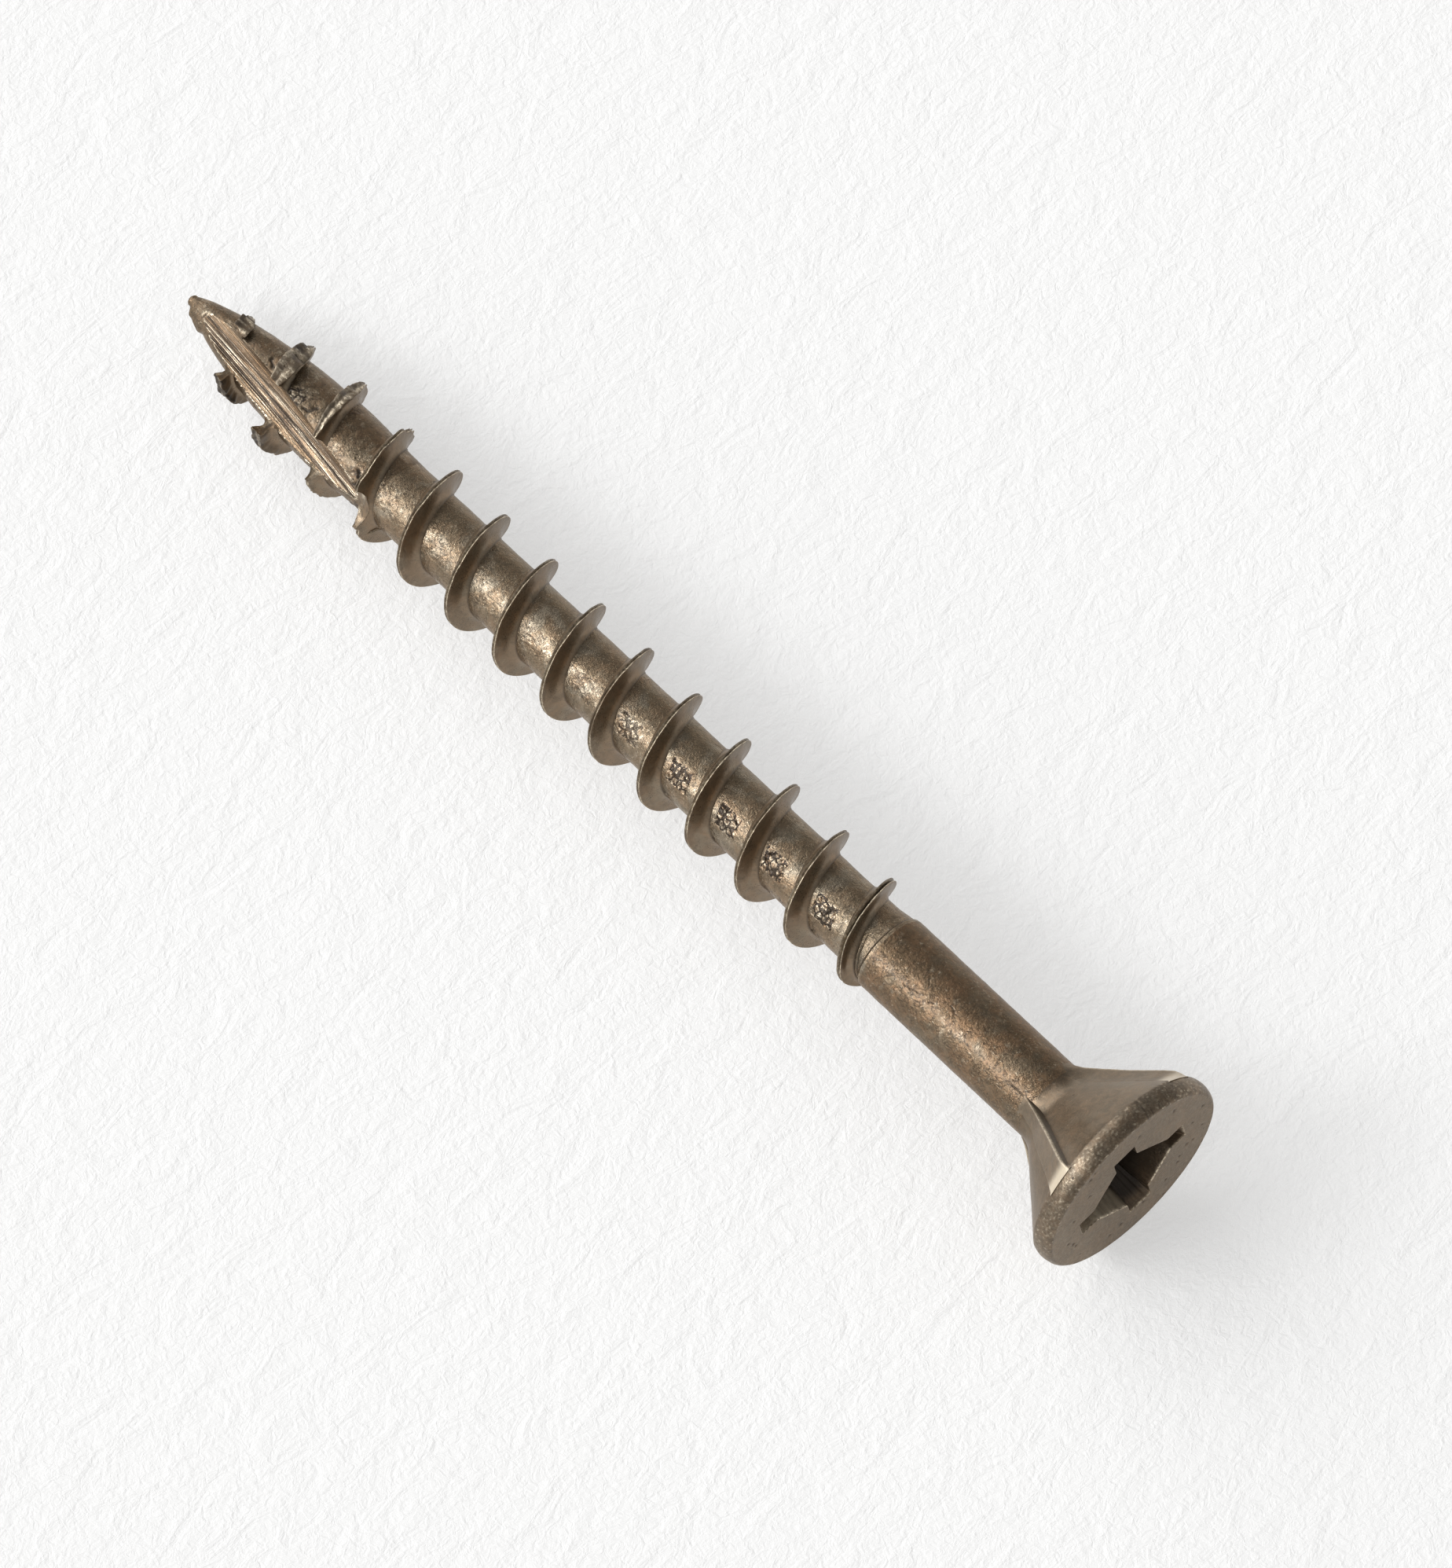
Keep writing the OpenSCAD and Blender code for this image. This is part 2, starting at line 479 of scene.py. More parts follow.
class Paint(Graph):
    """A material written as expressions, on coordinates in metres."""

    def __init__(self, name: str) -> None:
        """Makes an empty material with one principled shader.

        Args:
            name: the material's name.
        """
        self.material = bpy.data.materials.new(name)
        self.material.use_nodes = True
        super().__init__(self.material.node_tree)
        self.tree.nodes.clear()
        self.shader = self.node("ShaderNodeBsdfPrincipled")
        self.node("ShaderNodeOutputMaterial", inputs={"Surface": self.shader.outputs["BSDF"]})
        self.place = self.node("ShaderNodeTexCoord").outputs["Object"]

    def noise(self, size: float, detail: float = 4.0, roughness: float = 0.5, distortion: float = 0.0,
              stretch: tuple[float, float, float] | None = None, turn: tuple = (0.0, 0.0, 0.0)) -> Signal:
        """Noise from 0 to 1.

        Args:
            size: the width of a feature in millimetres.
            detail: octaves.
            roughness: the strength of each octave against the one before.
            distortion: how far the pattern is bent.
            stretch: scale of the pattern along each axis.
            turn: the pattern's rotation in radians.

        Returns:
            The noise.
        """
        place = self.place
        if stretch:
            place = self.node("ShaderNodeMapping", inputs={"Vector": place, "Scale": stretch,
                                                           "Rotation": turn}).outputs["Vector"]
        return self.wrinkle(place, 1.0 / (size * MM), detail, Roughness=roughness, Distortion=distortion)

    def cells(self, size: float, feature: str = "F1", bent: float = 0.0) -> Signal:
        """Distance to the nearest cell point, or to the edge of the cell.

        Args:
            size: the width of a cell in millimetres.
            feature: which distance is measured.
            bent: how far the cells' edges are bent, in millimetres.

        Returns:
            The distance, in widths of a cell.
        """
        place = self.place
        if bent:
            shift = self.node("ShaderNodeTexNoise",
                              inputs={"Vector": place, "Scale": 1.0 / (bent * MM), "Detail": 3.0})
            moved = self.node("ShaderNodeVectorMath", {"operation": "MULTIPLY_ADD"}, {
                0: shift.outputs["Color"], 1: (bent * MM,) * 3, 2: place})
            place = moved.outputs[0]
        made = self.node("ShaderNodeTexVoronoi", {"feature": feature},
                         {"Vector": place, "Scale": 1.0 / (size * MM)})
        return self.signal(made.outputs["Distance"])

    def mark(self, name: str) -> Signal:
        """A number that the mesh carries."""
        made = self.node("ShaderNodeAttribute", {"attribute_name": name, "attribute_type": "GEOMETRY"})
        return self.signal(made.outputs["Fac"])

    def mix(self, factor: "Signal | Number", low: object, high: object,
            blend: str = "MIX") -> bpy.types.NodeSocket:
        """Mixes two colours.

        Args:
            factor: how much of the second colour shows.
            low: the first colour or socket.
            high: the second colour or socket.
            blend: how they are mixed.

        Returns:
            The socket of the mixed colour.
        """
        made = self.node("ShaderNodeMix", {"data_type": "RGBA", "blend_type": blend},
                         {"Factor": factor, 6: solid(low), 7: solid(high)})
        return made.outputs[2]

    def bump(self, height: Signal, strength: float, depth: float,
             under: bpy.types.NodeSocket | None = None) -> bpy.types.NodeSocket:
        """Bends the normal by a height.

        Args:
            height: the height, from 0 to 1.
            strength: how much of the bump is used.
            depth: the height of 1, in millimetres.
            under: a normal that the bump is added to.

        Returns:
            The socket of the bent normal.
        """
        inputs = {"Height": height, "Strength": strength, "Distance": depth * MM}
        if under is not None:
            inputs["Normal"] = under
        return self.node("ShaderNodeBump", inputs=inputs).outputs["Normal"]

    def wire(self, **sockets: object) -> None:
        """Sets or links sockets of the principled shader.

        Args:
            sockets: a value or signal for each socket, with underscores for the spaces in its name.
        """
        for key, value in sockets.items():
            socket = self.shader.inputs[key.replace("_", " ")]
            if isinstance(value, Signal):
                value = value.socket
            if isinstance(value, bpy.types.NodeSocket):
                self.tree.links.new(value, socket)
            else:
                socket.default_value = value


def solid(colour: object) -> object:
    """Gives a plain colour its fourth number and leaves a socket alone."""
    return (*colour, 1.0) if isinstance(colour, tuple) and len(colour) == 3 else colour


# ---------------------------------------------------------------- finishes


@dataclass(frozen=True)
class BronzeCoat:
    """A baked bronze-coloured coating on steel.

    The mesh carries up to five marks: worn, where the coat is thin and bright and where a highlight is
    painted, pale, where it is evenly light and where light is painted, grime, where it is dark with grime and
    where shade is painted, cracked, where it has broken into plates, and smooth, where the dies left no grain.
    """

    name: str
    brown: tuple[float, float, float] = (0.210, 0.146, 0.086)
    copper: tuple[float, float, float] = (0.275, 0.166, 0.093)
    grey: tuple[float, float, float] = (0.225, 0.180, 0.122)
    bright: tuple[float, float, float] = (0.82, 0.71, 0.54)
    dark: tuple[float, float, float] = (0.030, 0.022, 0.016)
    copper_share: float = 0.5
    edge_tint: tuple[float, float, float] = (0.68, 0.62, 0.56)
    metallic: float = 0.90
    roughness: float = 0.36
    grain: float = 0.060
    grain_depth: float = 0.017
    sparkle: float = 0.6
    crackle: float = 0.3
    pits: float = 0.3
    lacquer: float = 0.28
    lacquer_roughness: float = 0.30

    def paint(self) -> bpy.types.Material:
        """Builds the material."""
        return self.lay().material

    def lay(self) -> Paint:
        """Builds the coat and leaves its graph open.

        Returns:
            The graph, to which another finish may add.
        """
        p = Paint(self.name)
        worn, pale, grime, cracked = (p.mark(name) for name in ("worn", "pale", "grime", "cracked"))
        coarse = 1.0 - p.mark("smooth")
        clouds = p.noise(1.3, 5.0, 0.62, 0.4, (0.45, 1.0, 1.0))
        blotch = p.noise(0.30, 5.0, 0.65, 0.6)
        fine = p.noise(self.grain, 3.0, 0.7)
        specks = p.noise(0.09, 3.0, 0.65)
        hair = p.noise(0.36, 4.0, 0.65, 1.2)
        pit = 1.0 - p.cells(0.50).ramp(0.045, 0.10)
        plates = p.cells(0.24, "DISTANCE_TO_EDGE", bent=0.14)

        warmth = (clouds.ramp(0.40, 0.64) * 0.6 + blotch.ramp(0.44, 0.62) * 0.6) * self.copper_share
        colour = p.mix((warmth + 0.5 * cracked).held(), self.brown, self.copper)
        colour = p.mix(p.noise(0.8, 4.0, 0.6, 0.3).ramp(0.48, 0.66) * 0.7, colour, self.grey)
        shade = (1.3 * blotch + 0.6 * fine - 0.10).held() * 0.75 + 0.35 * clouds
        grey_shade = p.node("ShaderNodeCombineColor", inputs={0: shade, 1: shade, 2: shade}).outputs[0]
        colour = p.mix(1.0, colour, grey_shade, "MULTIPLY")
        colour = p.mix(pale * 0.7, colour, self.bright)
        flecks = specks.ramp(0.60, 0.70) * self.sparkle * coarse
        colour = p.mix((flecks * 0.85).held(), colour, self.bright)
        lines = (1.0 - abs(hair - 0.5).ramp(0.005, 0.020)) * (self.crackle * coarse + 0.6 * cracked)
        lines = lines.most((1.0 - plates.ramp(0.04, 0.13)) * cracked.ramp(0.3, 0.7)).held()
        glint = plates.ramp(0.10, 0.16) * (1.0 - plates.ramp(0.24, 0.34)) * cracked
        glint = (glint * specks.ramp(0.42, 0.56)).held()
        # Worn edges, painted highlights and the plates' glints are mixed towards bright.
        edge = (worn * (0.30 + 1.5 * specks.ramp(0.40, 0.60))).held().most(glint * 0.6)
        colour = p.mix(edge * 0.9, colour, self.bright)
        colour = p.mix((lines * 0.92).held(), colour, self.dark)
        spot = (pit * self.pits * coarse).held()
        # Grime, painted shade and the pits are mixed towards dark.
        dirt_and_shade = (grime * (0.70 + 0.6 * blotch)).held().most(spot)
        colour = p.mix(dirt_and_shade * 0.94, colour, self.dark)

        height = (fine * 0.8 + specks * 0.9) * (0.2 + 0.8 * coarse) - lines * 1.2 - spot * 2.5
        normal = p.bump(height, 1.0, self.grain_depth)
        normal = p.bump(blotch + 0.6 * clouds, 1.0, self.grain_depth * 0.8, normal)
        rough = self.roughness + 0.20 * (fine - 0.5) + 0.16 * (clouds - 0.5) - 0.14 * flecks
        rough = rough - 0.14 * edge + 0.30 * dirt_and_shade
        p.wire(Base_Color=colour, Roughness=rough.held(), Normal=normal,
               Metallic=(self.metallic - 0.5 * dirt_and_shade - 0.6 * pale).held())
        p.shader.inputs["Specular Tint"].default_value = (*self.edge_tint, 1.0)
        p.shader.inputs["Coat Weight"].default_value = self.lacquer
        p.shader.inputs["Coat Roughness"].default_value = self.lacquer_roughness
        return p


@dataclass(frozen=True)
class CutSteel:
    """The milled slot: coated over, with the cutter's lines along it. Outside the slot it is a plain coat.

    The mesh carries slot, which is 1 in the slot, and lane, the way round the cutter in millimetres.
    """

    name: str
    coat: BronzeCoat
    light: tuple[float, float, float] = (0.84, 0.74, 0.58)
    copper: tuple[float, float, float] = (0.34, 0.235, 0.145)
    brown: tuple[float, float, float] = (0.19, 0.135, 0.090)
    deep: tuple[float, float, float] = (0.045, 0.032, 0.022)

    @staticmethod
    def _lanes(p: "Paint", lane: Signal, along: Signal, width: float, stretch: float, shift: float) -> Signal:
        """Noise drawn out into lines along the slot.

        Args:
            p: the graph.
            lane: the way round the cutter.
            along: the way along the screw.
            width: the width of a line in millimetres.
            stretch: how fast a line changes along its length, against across it.
            shift: what sets this noise apart from another.

        Returns:
            The noise, from 0 to 1.
        """
        return p.wrinkle(p.vector(lane / width, along * stretch / width, shift), 1.0, 2.0)

    def paint(self) -> bpy.types.Material:
        """Builds the material on top of the coat's own nodes.

        Returns:
            The material.
        """
        p = self.coat.lay()
        p.material.name = self.name
        slot, lane = p.mark("slot"), p.mark("lane")
        inputs = p.shader.inputs
        under = {key: inputs[key].links[0].from_socket for key in ("Base Color", "Roughness", "Normal")}
        along = p.signal(p.node("ShaderNodeSeparateXYZ", inputs={0: p.place}).outputs[0]) / MM
        wide = self._lanes(p, lane, along, 0.26, 0.02, 3.0)
        narrow = self._lanes(p, lane, along, 0.075, 0.02, 9.0)
        hair = self._lanes(p, lane, along, 0.030, 0.03, 17.0)
        ridged = lane.ramp(-0.35, 0.25)
        dark = (wide.ramp(0.50, 0.40) * (0.35 + 0.65 * ridged)).most(narrow.ramp(0.47, 0.38) * ridged).held()
        light = (narrow.ramp(0.54, 0.62) * (0.30 + 0.70 * ridged)).most(hair.ramp(0.62, 0.72) * 0.6).held()
        cut = p.mix(wide.ramp(0.42, 0.62), self.brown, self.copper)
        cut = p.mix(dark * 0.9, cut, self.deep)
        cut = p.mix(light * 0.95, cut, self.light)
        colour = p.mix(slot, under["Base Color"], cut)
        height = (narrow + 0.4 * hair + 1.5 * wide * ridged) * slot
        normal = p.bump(height, 1.0, 0.035, under["Normal"])
        rough = p.signal(under["Roughness"])
        p.wire(Base_Color=colour, Normal=normal, Roughness=rough + slot * (0.26 - rough))
        return p.material


@dataclass(frozen=True)
class Paper:
    """White paper with a faint felt."""

    name: str = "paper"
    white: tuple[float, float, float] = (0.565, 0.565, 0.564)
    glow: float = 0.462

    def paint(self) -> bpy.types.Material:
        """Builds the material.

        Returns:
            The material.
        """
        p = Paint(self.name)
        felt = p.noise(0.9, 5.0, 0.6, 0.8, (1.0, 0.55, 1.0), (0.0, 0.0, 0.6))
        fibre = p.noise(0.28, 3.0, 0.6, 1.0)
        tone = 0.985 + 0.02 * felt
        shade = p.node("ShaderNodeCombineColor", inputs={0: tone, 1: tone, 2: tone}).outputs[0]
        p.wire(Base_Color=p.mix(1.0, self.white, shade, "MULTIPLY"), Roughness=0.95,
               Normal=p.bump(felt + 0.5 * fibre, 1.0, 0.11))
        p.shader.inputs["Specular IOR Level"].default_value = 0.1
        p.shader.inputs["Emission Color"].default_value = (1.0, 1.0, 0.998, 1.0)
        p.shader.inputs["Emission Strength"].default_value = self.glow
        return p.material


class Finish(Enum):
    """The finishes of the screw's regions."""

    HEAD = BronzeCoat("head_coat", brown=(0.174, 0.129, 0.085), copper=(0.235, 0.156, 0.095), copper_share=0.5,
                      grey=(0.200, 0.158, 0.112), roughness=0.33, sparkle=0.12, crackle=0.0, pits=0.5,
                      grain_depth=0.008)
    SHANK = BronzeCoat("shank_coat", brown=(0.222, 0.154, 0.092), copper_share=0.7, roughness=0.32,
                       sparkle=0.40, crackle=0.45, pits=0.3)
    CORE = BronzeCoat("core_coat", brown=(0.300, 0.232, 0.154), grey=(0.380, 0.328, 0.250), copper_share=0.4,
                      roughness=0.24, sparkle=0.40, crackle=0.25, pits=0.4)
    THREAD = BronzeCoat("thread_coat", brown=(0.270, 0.200, 0.130), grey=(0.290, 0.235, 0.165),
                        copper_share=0.3, metallic=0.70, roughness=0.30, sparkle=0.35, crackle=0.15, pits=0.4)
    POINT = CutSteel("point_coat", BronzeCoat("point_base", brown=(0.215, 0.156, 0.098), copper_share=0.4,
                                              roughness=0.29, sparkle=0.35, crackle=0.4, pits=0.4))


# ---------------------------------------------------------------- the screw


@dataclass(frozen=True)
class Screw:
    """Sizes of the whole screw, read from the frame."""

    length: float
    head_r: float
    head_end: float
    shank_r: float
    shank_end: float
    collar_end: float
    core_r: float
    point_start: float
    thread_r: float
    pitch: float = 2.1167
    phase: float = 0.87
    swell_run: float = 2.4
    swell_r: float = 1.24
    tip_r: float = 0.14
    ogive_power: float = 0.7

    @classmethod
    def from_frame(cls) -> "Screw":
        """Reads the sizes from the boxes of the CAD nodes.

        Returns:
            The sizes.
        """
        shank_low, shank_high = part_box("shank")
        core_low, core_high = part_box("core")
        return cls(length=-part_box("point")[0].x / MM, head_r=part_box("head")[1].z / MM,
                   head_end=-shank_high.x / MM, shank_r=shank_high.z / MM, shank_end=-shank_low.x / MM,
                   collar_end=-core_high.x / MM, core_r=core_high.z / MM, point_start=-core_low.x / MM,
                   thread_r=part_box("thread")[1].z / MM)

    @property
    def swell_at(self) -> float:
        """Depth of the thickest part of the point."""
        return self.point_start + self.swell_run

    @property
    def ogive_run(self) -> float:
        """Length over which the point would shrink to nothing."""
        return self.length - self.swell_at + 0.1

    def body_radius(self, depth: np.ndarray) -> np.ndarray:
        """Radius of the body without its thread.

        Args:
            depth: places along the screw.

        Returns:
            The radius at each place.
        """
        depth = np.asarray(depth, float)
        taper = np.clip((depth - self.shank_end) / (self.collar_end - self.shank_end), 0.0, 1.0)
        straight = self.shank_r + (self.core_r - self.shank_r) * taper
        swell = straight + (self.swell_r - self.core_r) * ease(self.point_start, self.swell_at, depth)
        t = np.clip((depth - self.swell_at) / self.ogive_run, 0.0, 1.0)
        ogive = self.swell_r * np.maximum(1.0 - t * t, 1e-4) ** self.ogive_power
        return np.where(depth < self.swell_at, swell, np.maximum(ogive, self.tip_r))

    def turns_at(self, depth: Number) -> float:
        """How many turns from angle zero the crest lies at a depth."""
        return (-self.phase - depth) / self.pitch

    def crest_depth(self, angle: np.ndarray, turn: int) -> np.ndarray:
        """Depth of the crest at an angle, on one of the turns."""
        return -self.phase - self.pitch * (np.asarray(angle) / 360.0 - turn)


@dataclass
class Region:
    """A region of the screw: one piece that stands for CAD nodes and takes one finish."""

    screw: Screw
    nodes: tuple[str, ...] = ()
    slot: str = ""
    finish: Finish = Finish.SHANK
    seed: int = 1

    @property
    def name(self) -> str:
        """The piece's name, after its first node."""
        return f"{self.nodes[0]}_visual"

    def dress(self, piece: bpy.types.Object, coats: dict[Finish, bpy.types.Material]) -> bpy.types.Object:
        """Gives a piece its finish and ties it to the frame.

        Args:
            piece: the finished mesh object.
            coats: the material of each finish.

        Returns:
            The piece.
        """
        piece.data.materials.clear()
        piece.data.materials.append(coats[self.finish])
        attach(piece, BODY)
        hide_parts(*self.nodes)
        LOG.info("%s: %d faces", piece.name, len(piece.data.polygons))
        return piece


@dataclass
class Head(Region):
    """The countersunk head with its recess."""

    nodes: tuple[str, ...] = ("head",)
    slot: str = "head_coating"
    finish: Finish = Finish.HEAD
    face_r: float = 3.3
    rim_round: float = 0.3
    rim_depth: float = 0.42
    cone_start: float = 0.66
    cone_r: float = 3.41
    half_angle: float = 41.0
    neck_fillet: float = 1.0
    flats: float = 2.72
    square_depth: float = 2.2
    wing_span: float = 4.2
    wing_width: float = 0.84
    wing_depth: float = 1.7
    wing_angle: float = 8.9
    places: int = 480

    def outline(self, depth: float) -> np.ndarray:
        """Outline of the recess at a depth: a square whose corners run out into flat-ended wings.

        Args:
            depth: the depth below the face.

        Returns:
            Points across the axis, the same number for each stretch at every depth.
        """
        sink = depth / self.square_depth
        half = self.flats / 2 * (1.0 - 0.18 * sink)
        wing = self.wing_width / 2 * (1.0 - 0.4 * min(depth / self.wing_depth, 1.0))
        root = half * math.sqrt(2.0) - wing
        span = self.wing_span / 2 * (1.0 - 0.4 * depth / self.wing_depth)
        tip = max(span, root + 0.02)
        quarter = self.places // 4
        counts = (quarter - 70, 21, 28, 21)
        points = []
        for k in range(4):
            turn = math.radians(self.wing_angle + 90.0 * k)
            back = turn - math.pi / 2
            corners = [self._turned(back, root, wing), self._turned(turn, root, -wing),
                       self._turned(turn, tip, -wing), self._turned(turn, tip, wing),
                       self._turned(turn, root, wing)]
            for low, high, count in zip(corners, corners[1:], counts):
                points += [low + (high - low) * i / count for i in range(count)]
        points = np.array(points)
        for _ in range(2):
            points = (np.roll(points, 1, axis=0) + 2.0 * points + np.roll(points, -1, axis=0)) / 4.0
        return points

    @staticmethod
    def _turned(turn: float, along: float, across: float) -> np.ndarray:
        """A point of a wing, given along and across the wing's direction."""
        return np.array([along * math.cos(turn) - across * math.sin(turn),
                         along * math.sin(turn) + across * math.cos(turn)])

    def build(self) -> bpy.types.Object:
        """Builds the head as rings from the bottom of the recess, over the face and rim, to the neck.

        Returns:
            The piece.
        """
        noise = Noise(self.seed)
        start = math.atan2(*self.outline(0.0)[0][::-1])
        angle = np.degrees(start) + 360.0 * np.arange(self.places) / self.places
        circle = np.stack([np.cos(np.radians(angle)), np.sin(np.radians(angle))], axis=-1)
        rings, worn, grime = [], [], []

        def add(depth: float, across: np.ndarray, wear: float = 0.0, dirt_and_shade: float = 0.0) -> None:
            """Stores one ring.

            Args:
                depth: the ring's depth.
                across: its points across the axis.
                wear: its wear.
                dirt_and_shade: its dirt and painted shade.
            """
            rings.append(np.concatenate([np.full((self.places, 1), -depth), across], axis=1))
            worn.append(np.full(self.places, wear))
            grime.append(np.full(self.places, dirt_and_shade))

        bottom = self.outline(self.square_depth)
        # Painted shade at the bottom of the recess.
        for share in (0.08, 0.35, 0.7):
            add(self.square_depth + 0.35 * (1.0 - share), bottom * share, 0.0, 0.9)
        add(self.square_depth + 0.03, bottom * 0.96, 0.0, 0.8)
        stations = np.linspace(self.square_depth, 0.06, 40)
        ribs = np.random.default_rng(self.seed).normal(size=(self.places,))
        ribs = (np.roll(ribs, 1) + 2.0 * ribs + np.roll(ribs, -1)) / 4.0
        for depth in stations:
            here = self.outline(depth)
            out = here / np.linalg.norm(here, axis=1)[:, None]
            # Painted shade: the walls of the recess grow darker with depth.
            add(depth, here + out * 0.014 * ribs[:, None], 0.0, 0.22 + 0.76 * float(ease(0.2, 1.0, depth)))
        mouth = self.outline(0.0)
        out = mouth / np.linalg.norm(mouth, axis=1)[:, None]
        add(0.03, mouth + out * 0.004, 0.45, 0.0)
        add(0.008, mouth + out * 0.018, 0.5, 0.0)
        for share in np.linspace(0.0, 1.0, 44) ** 1.15:
            add(0.0, (mouth + out * 0.04) * (1.0 - share) + circle * (self.face_r - 0.03) * share, 0.05, 0.0)
        self._rim(add, circle)
        self._cone(add, circle)
        rings, worn, grime = np.array(rings), np.array(worn), np.array(grime)
        rings, marks = self._weather(rings, worn, grime, noise)
        return tube(self.name, rings, marks, 50.0)

    def _rim(self, add: Callable, circle: np.ndarray) -> None:
        """Adds the rounded rim, from the face to the start of the cone.

        Args:
            add: what stores a ring.
            circle: the ring's points at a radius of one millimetre.
        """
        for t in np.linspace(0.0, 1.0, 30):
            bend = math.radians(90.0 * t)
            depth = self.rim_depth * (1.0 - math.cos(bend))
            radius = self.face_r - 0.02 + (self.screw.head_r - self.face_r + 0.02) * math.sin(bend)
            add(depth, circle * radius, 0.03 + 0.05 * t)
        for t in np.linspace(0.1, 1.0, 10):
            depth = self.rim_depth + (self.cone_start - self.rim_depth) * t
            radius = self.screw.head_r - (self.screw.head_r - self.cone_r) * t * t
            add(depth, circle * radius, 0.08 - 0.05 * t)

    def _cone(self, add: Callable, circle: np.ndarray) -> None:
        """Adds the cone and the fillet, down to the shank.

        Args:
            add: what stores a ring.
            circle: the ring's points at a radius of one millimetre.
        """
        centre_r = self.screw.shank_r + self.neck_fillet
        start = math.radians(180.0 - self.half_angle)
        tangent_depth = self.screw.head_end - self.neck_fillet * math.sin(start)
        tangent_r = centre_r + self.neck_fillet * math.cos(start)
        for t in np.linspace(0.02, 1.0, 50):
            depth = self.cone_start + (tangent_depth - self.cone_start) * t
            radius = self.cone_r + (tangent_r - self.cone_r) * t
            add(depth, circle * radius)
        for t in np.linspace(0.08, 1.0, 14):
            bend = start + (math.pi - start) * t
            add(self.screw.head_end - self.neck_fillet * math.sin(bend),
                circle * (centre_r + self.neck_fillet * math.cos(bend)))

    def _weather(self, rings: np.ndarray, worn: np.ndarray, grime: np.ndarray,
                 noise: Noise) -> tuple[np.ndarray, dict[str, np.ndarray]]:
        """Roughens the surface, always inwards, and adds nicks and pits, with painted light on the lit walls
        of the recess and the upper side of the cone, and painted shade deeper in the recess.

        Args:
            rings: the points.
            worn: the wear at each point.
            grime: the dirt and painted shade at each point.
            noise: the noise that is used.

        Returns:
            The changed points, and the marks that they carry.
        """
        depth, radius = -rings[..., 0], np.linalg.norm(rings[..., 1:], axis=-1)
        angle = np.degrees(np.arctan2(rings[..., 2], rings[..., 1])) % 360.0
        rim = ease(3.18, 3.30, radius) * (1.0 - ease(0.62, 0.75, depth))
        cone = ease(0.62, 0.8, depth) * ease(1.25, 1.4, radius)
        face = (depth < 0.001) * ease(3.3, 3.1, radius)
        rough = np.abs(noise.rough(rings, 0.14)) * 0.006 + np.abs(noise(rings, 0.6)) * 0.02
        grime = grime + rim * (0.10 + 0.25 * ease(-0.05, 0.30, noise.rough(rings, 0.35)))
        worn = worn + rim * 0.26 * ease(0.12, 0.35, noise.rough(rings + 3.0, 0.09, 2))
        # Painted light and shade in the recess: the walls that face the light (angles 192 to 266) get painted
        # light and lose their painted shade.
        walls = ease(0.02, 0.06, depth) * (1.0 - ease(0.55, 1.05, depth)) * ease(2.3, 2.1, radius)
        lit = ease(192.0, 200.0, angle) * (1.0 - ease(258.0, 266.0, angle))
        ribbed = noise(rings * np.array([0.15, 1.0, 1.0]), 0.13)
        pale = walls * lit * (0.75 + 0.45 * ribbed)
        # Painted light on the upper side of the cone, about 45 degrees, over a little even lightening of the
        # whole cone.
        pale += cone * 0.11 * bell(angle, 45.0, 38.0) + cone * 0.05
        grime = grime - walls * lit * 0.8 + walls * 0.45 * ease(0.25, 0.4, ribbed)
        # Painted shade on the end wall of one wing, darker with depth.
        grime += walls * 0.8 * ease(0.15, 0.5, depth) * bell(angle, 281.0, 14.0)
        inward = rim * (0.007 + rough) + cone * (0.010 + 0.012 * noise.rough(rings, 0.9))
        for at, width, run in ((78.0, 0.5, 0.022), (74.5, 0.45, 0.016)):
            inward += rim * run * bell(angle + 2.0 * (depth - 0.3), at, width)
            grime = grime + rim * 0.5 * bell(angle + 2.0 * (depth - 0.3), at, width)
        shrink = 1.0 - inward / np.maximum(radius, 0.5)
        rings[..., 1:] *= shrink[..., None]
        dish = face * (0.004 + 0.006 * np.abs(noise(rings, 1.2)) + 0.003 * np.abs(noise(rings, 0.2)))
        rng = np.random.default_rng(self.seed + 4)
        for at, out in zip(rng.uniform(0.0, 360.0, 22), rng.uniform(2.2, 3.2, 22)):
            here = out * np.array([math.cos(math.radians(at)), math.sin(math.radians(at))])
            size = rng.uniform(0.03, 0.06)
            dent = face * np.exp(-np.sum((rings[..., 1:] - here) ** 2, axis=-1) / size**2)
            dish, grime = dish + 0.03 * dent, grime + 0.9 * dent
        rings[..., 0] -= dish
        marks = {"worn": worn, "pale": pale, "grime": grime}
        return rings, {name: np.clip(mark, 0.0, 1.0) for name, mark in marks.items()}


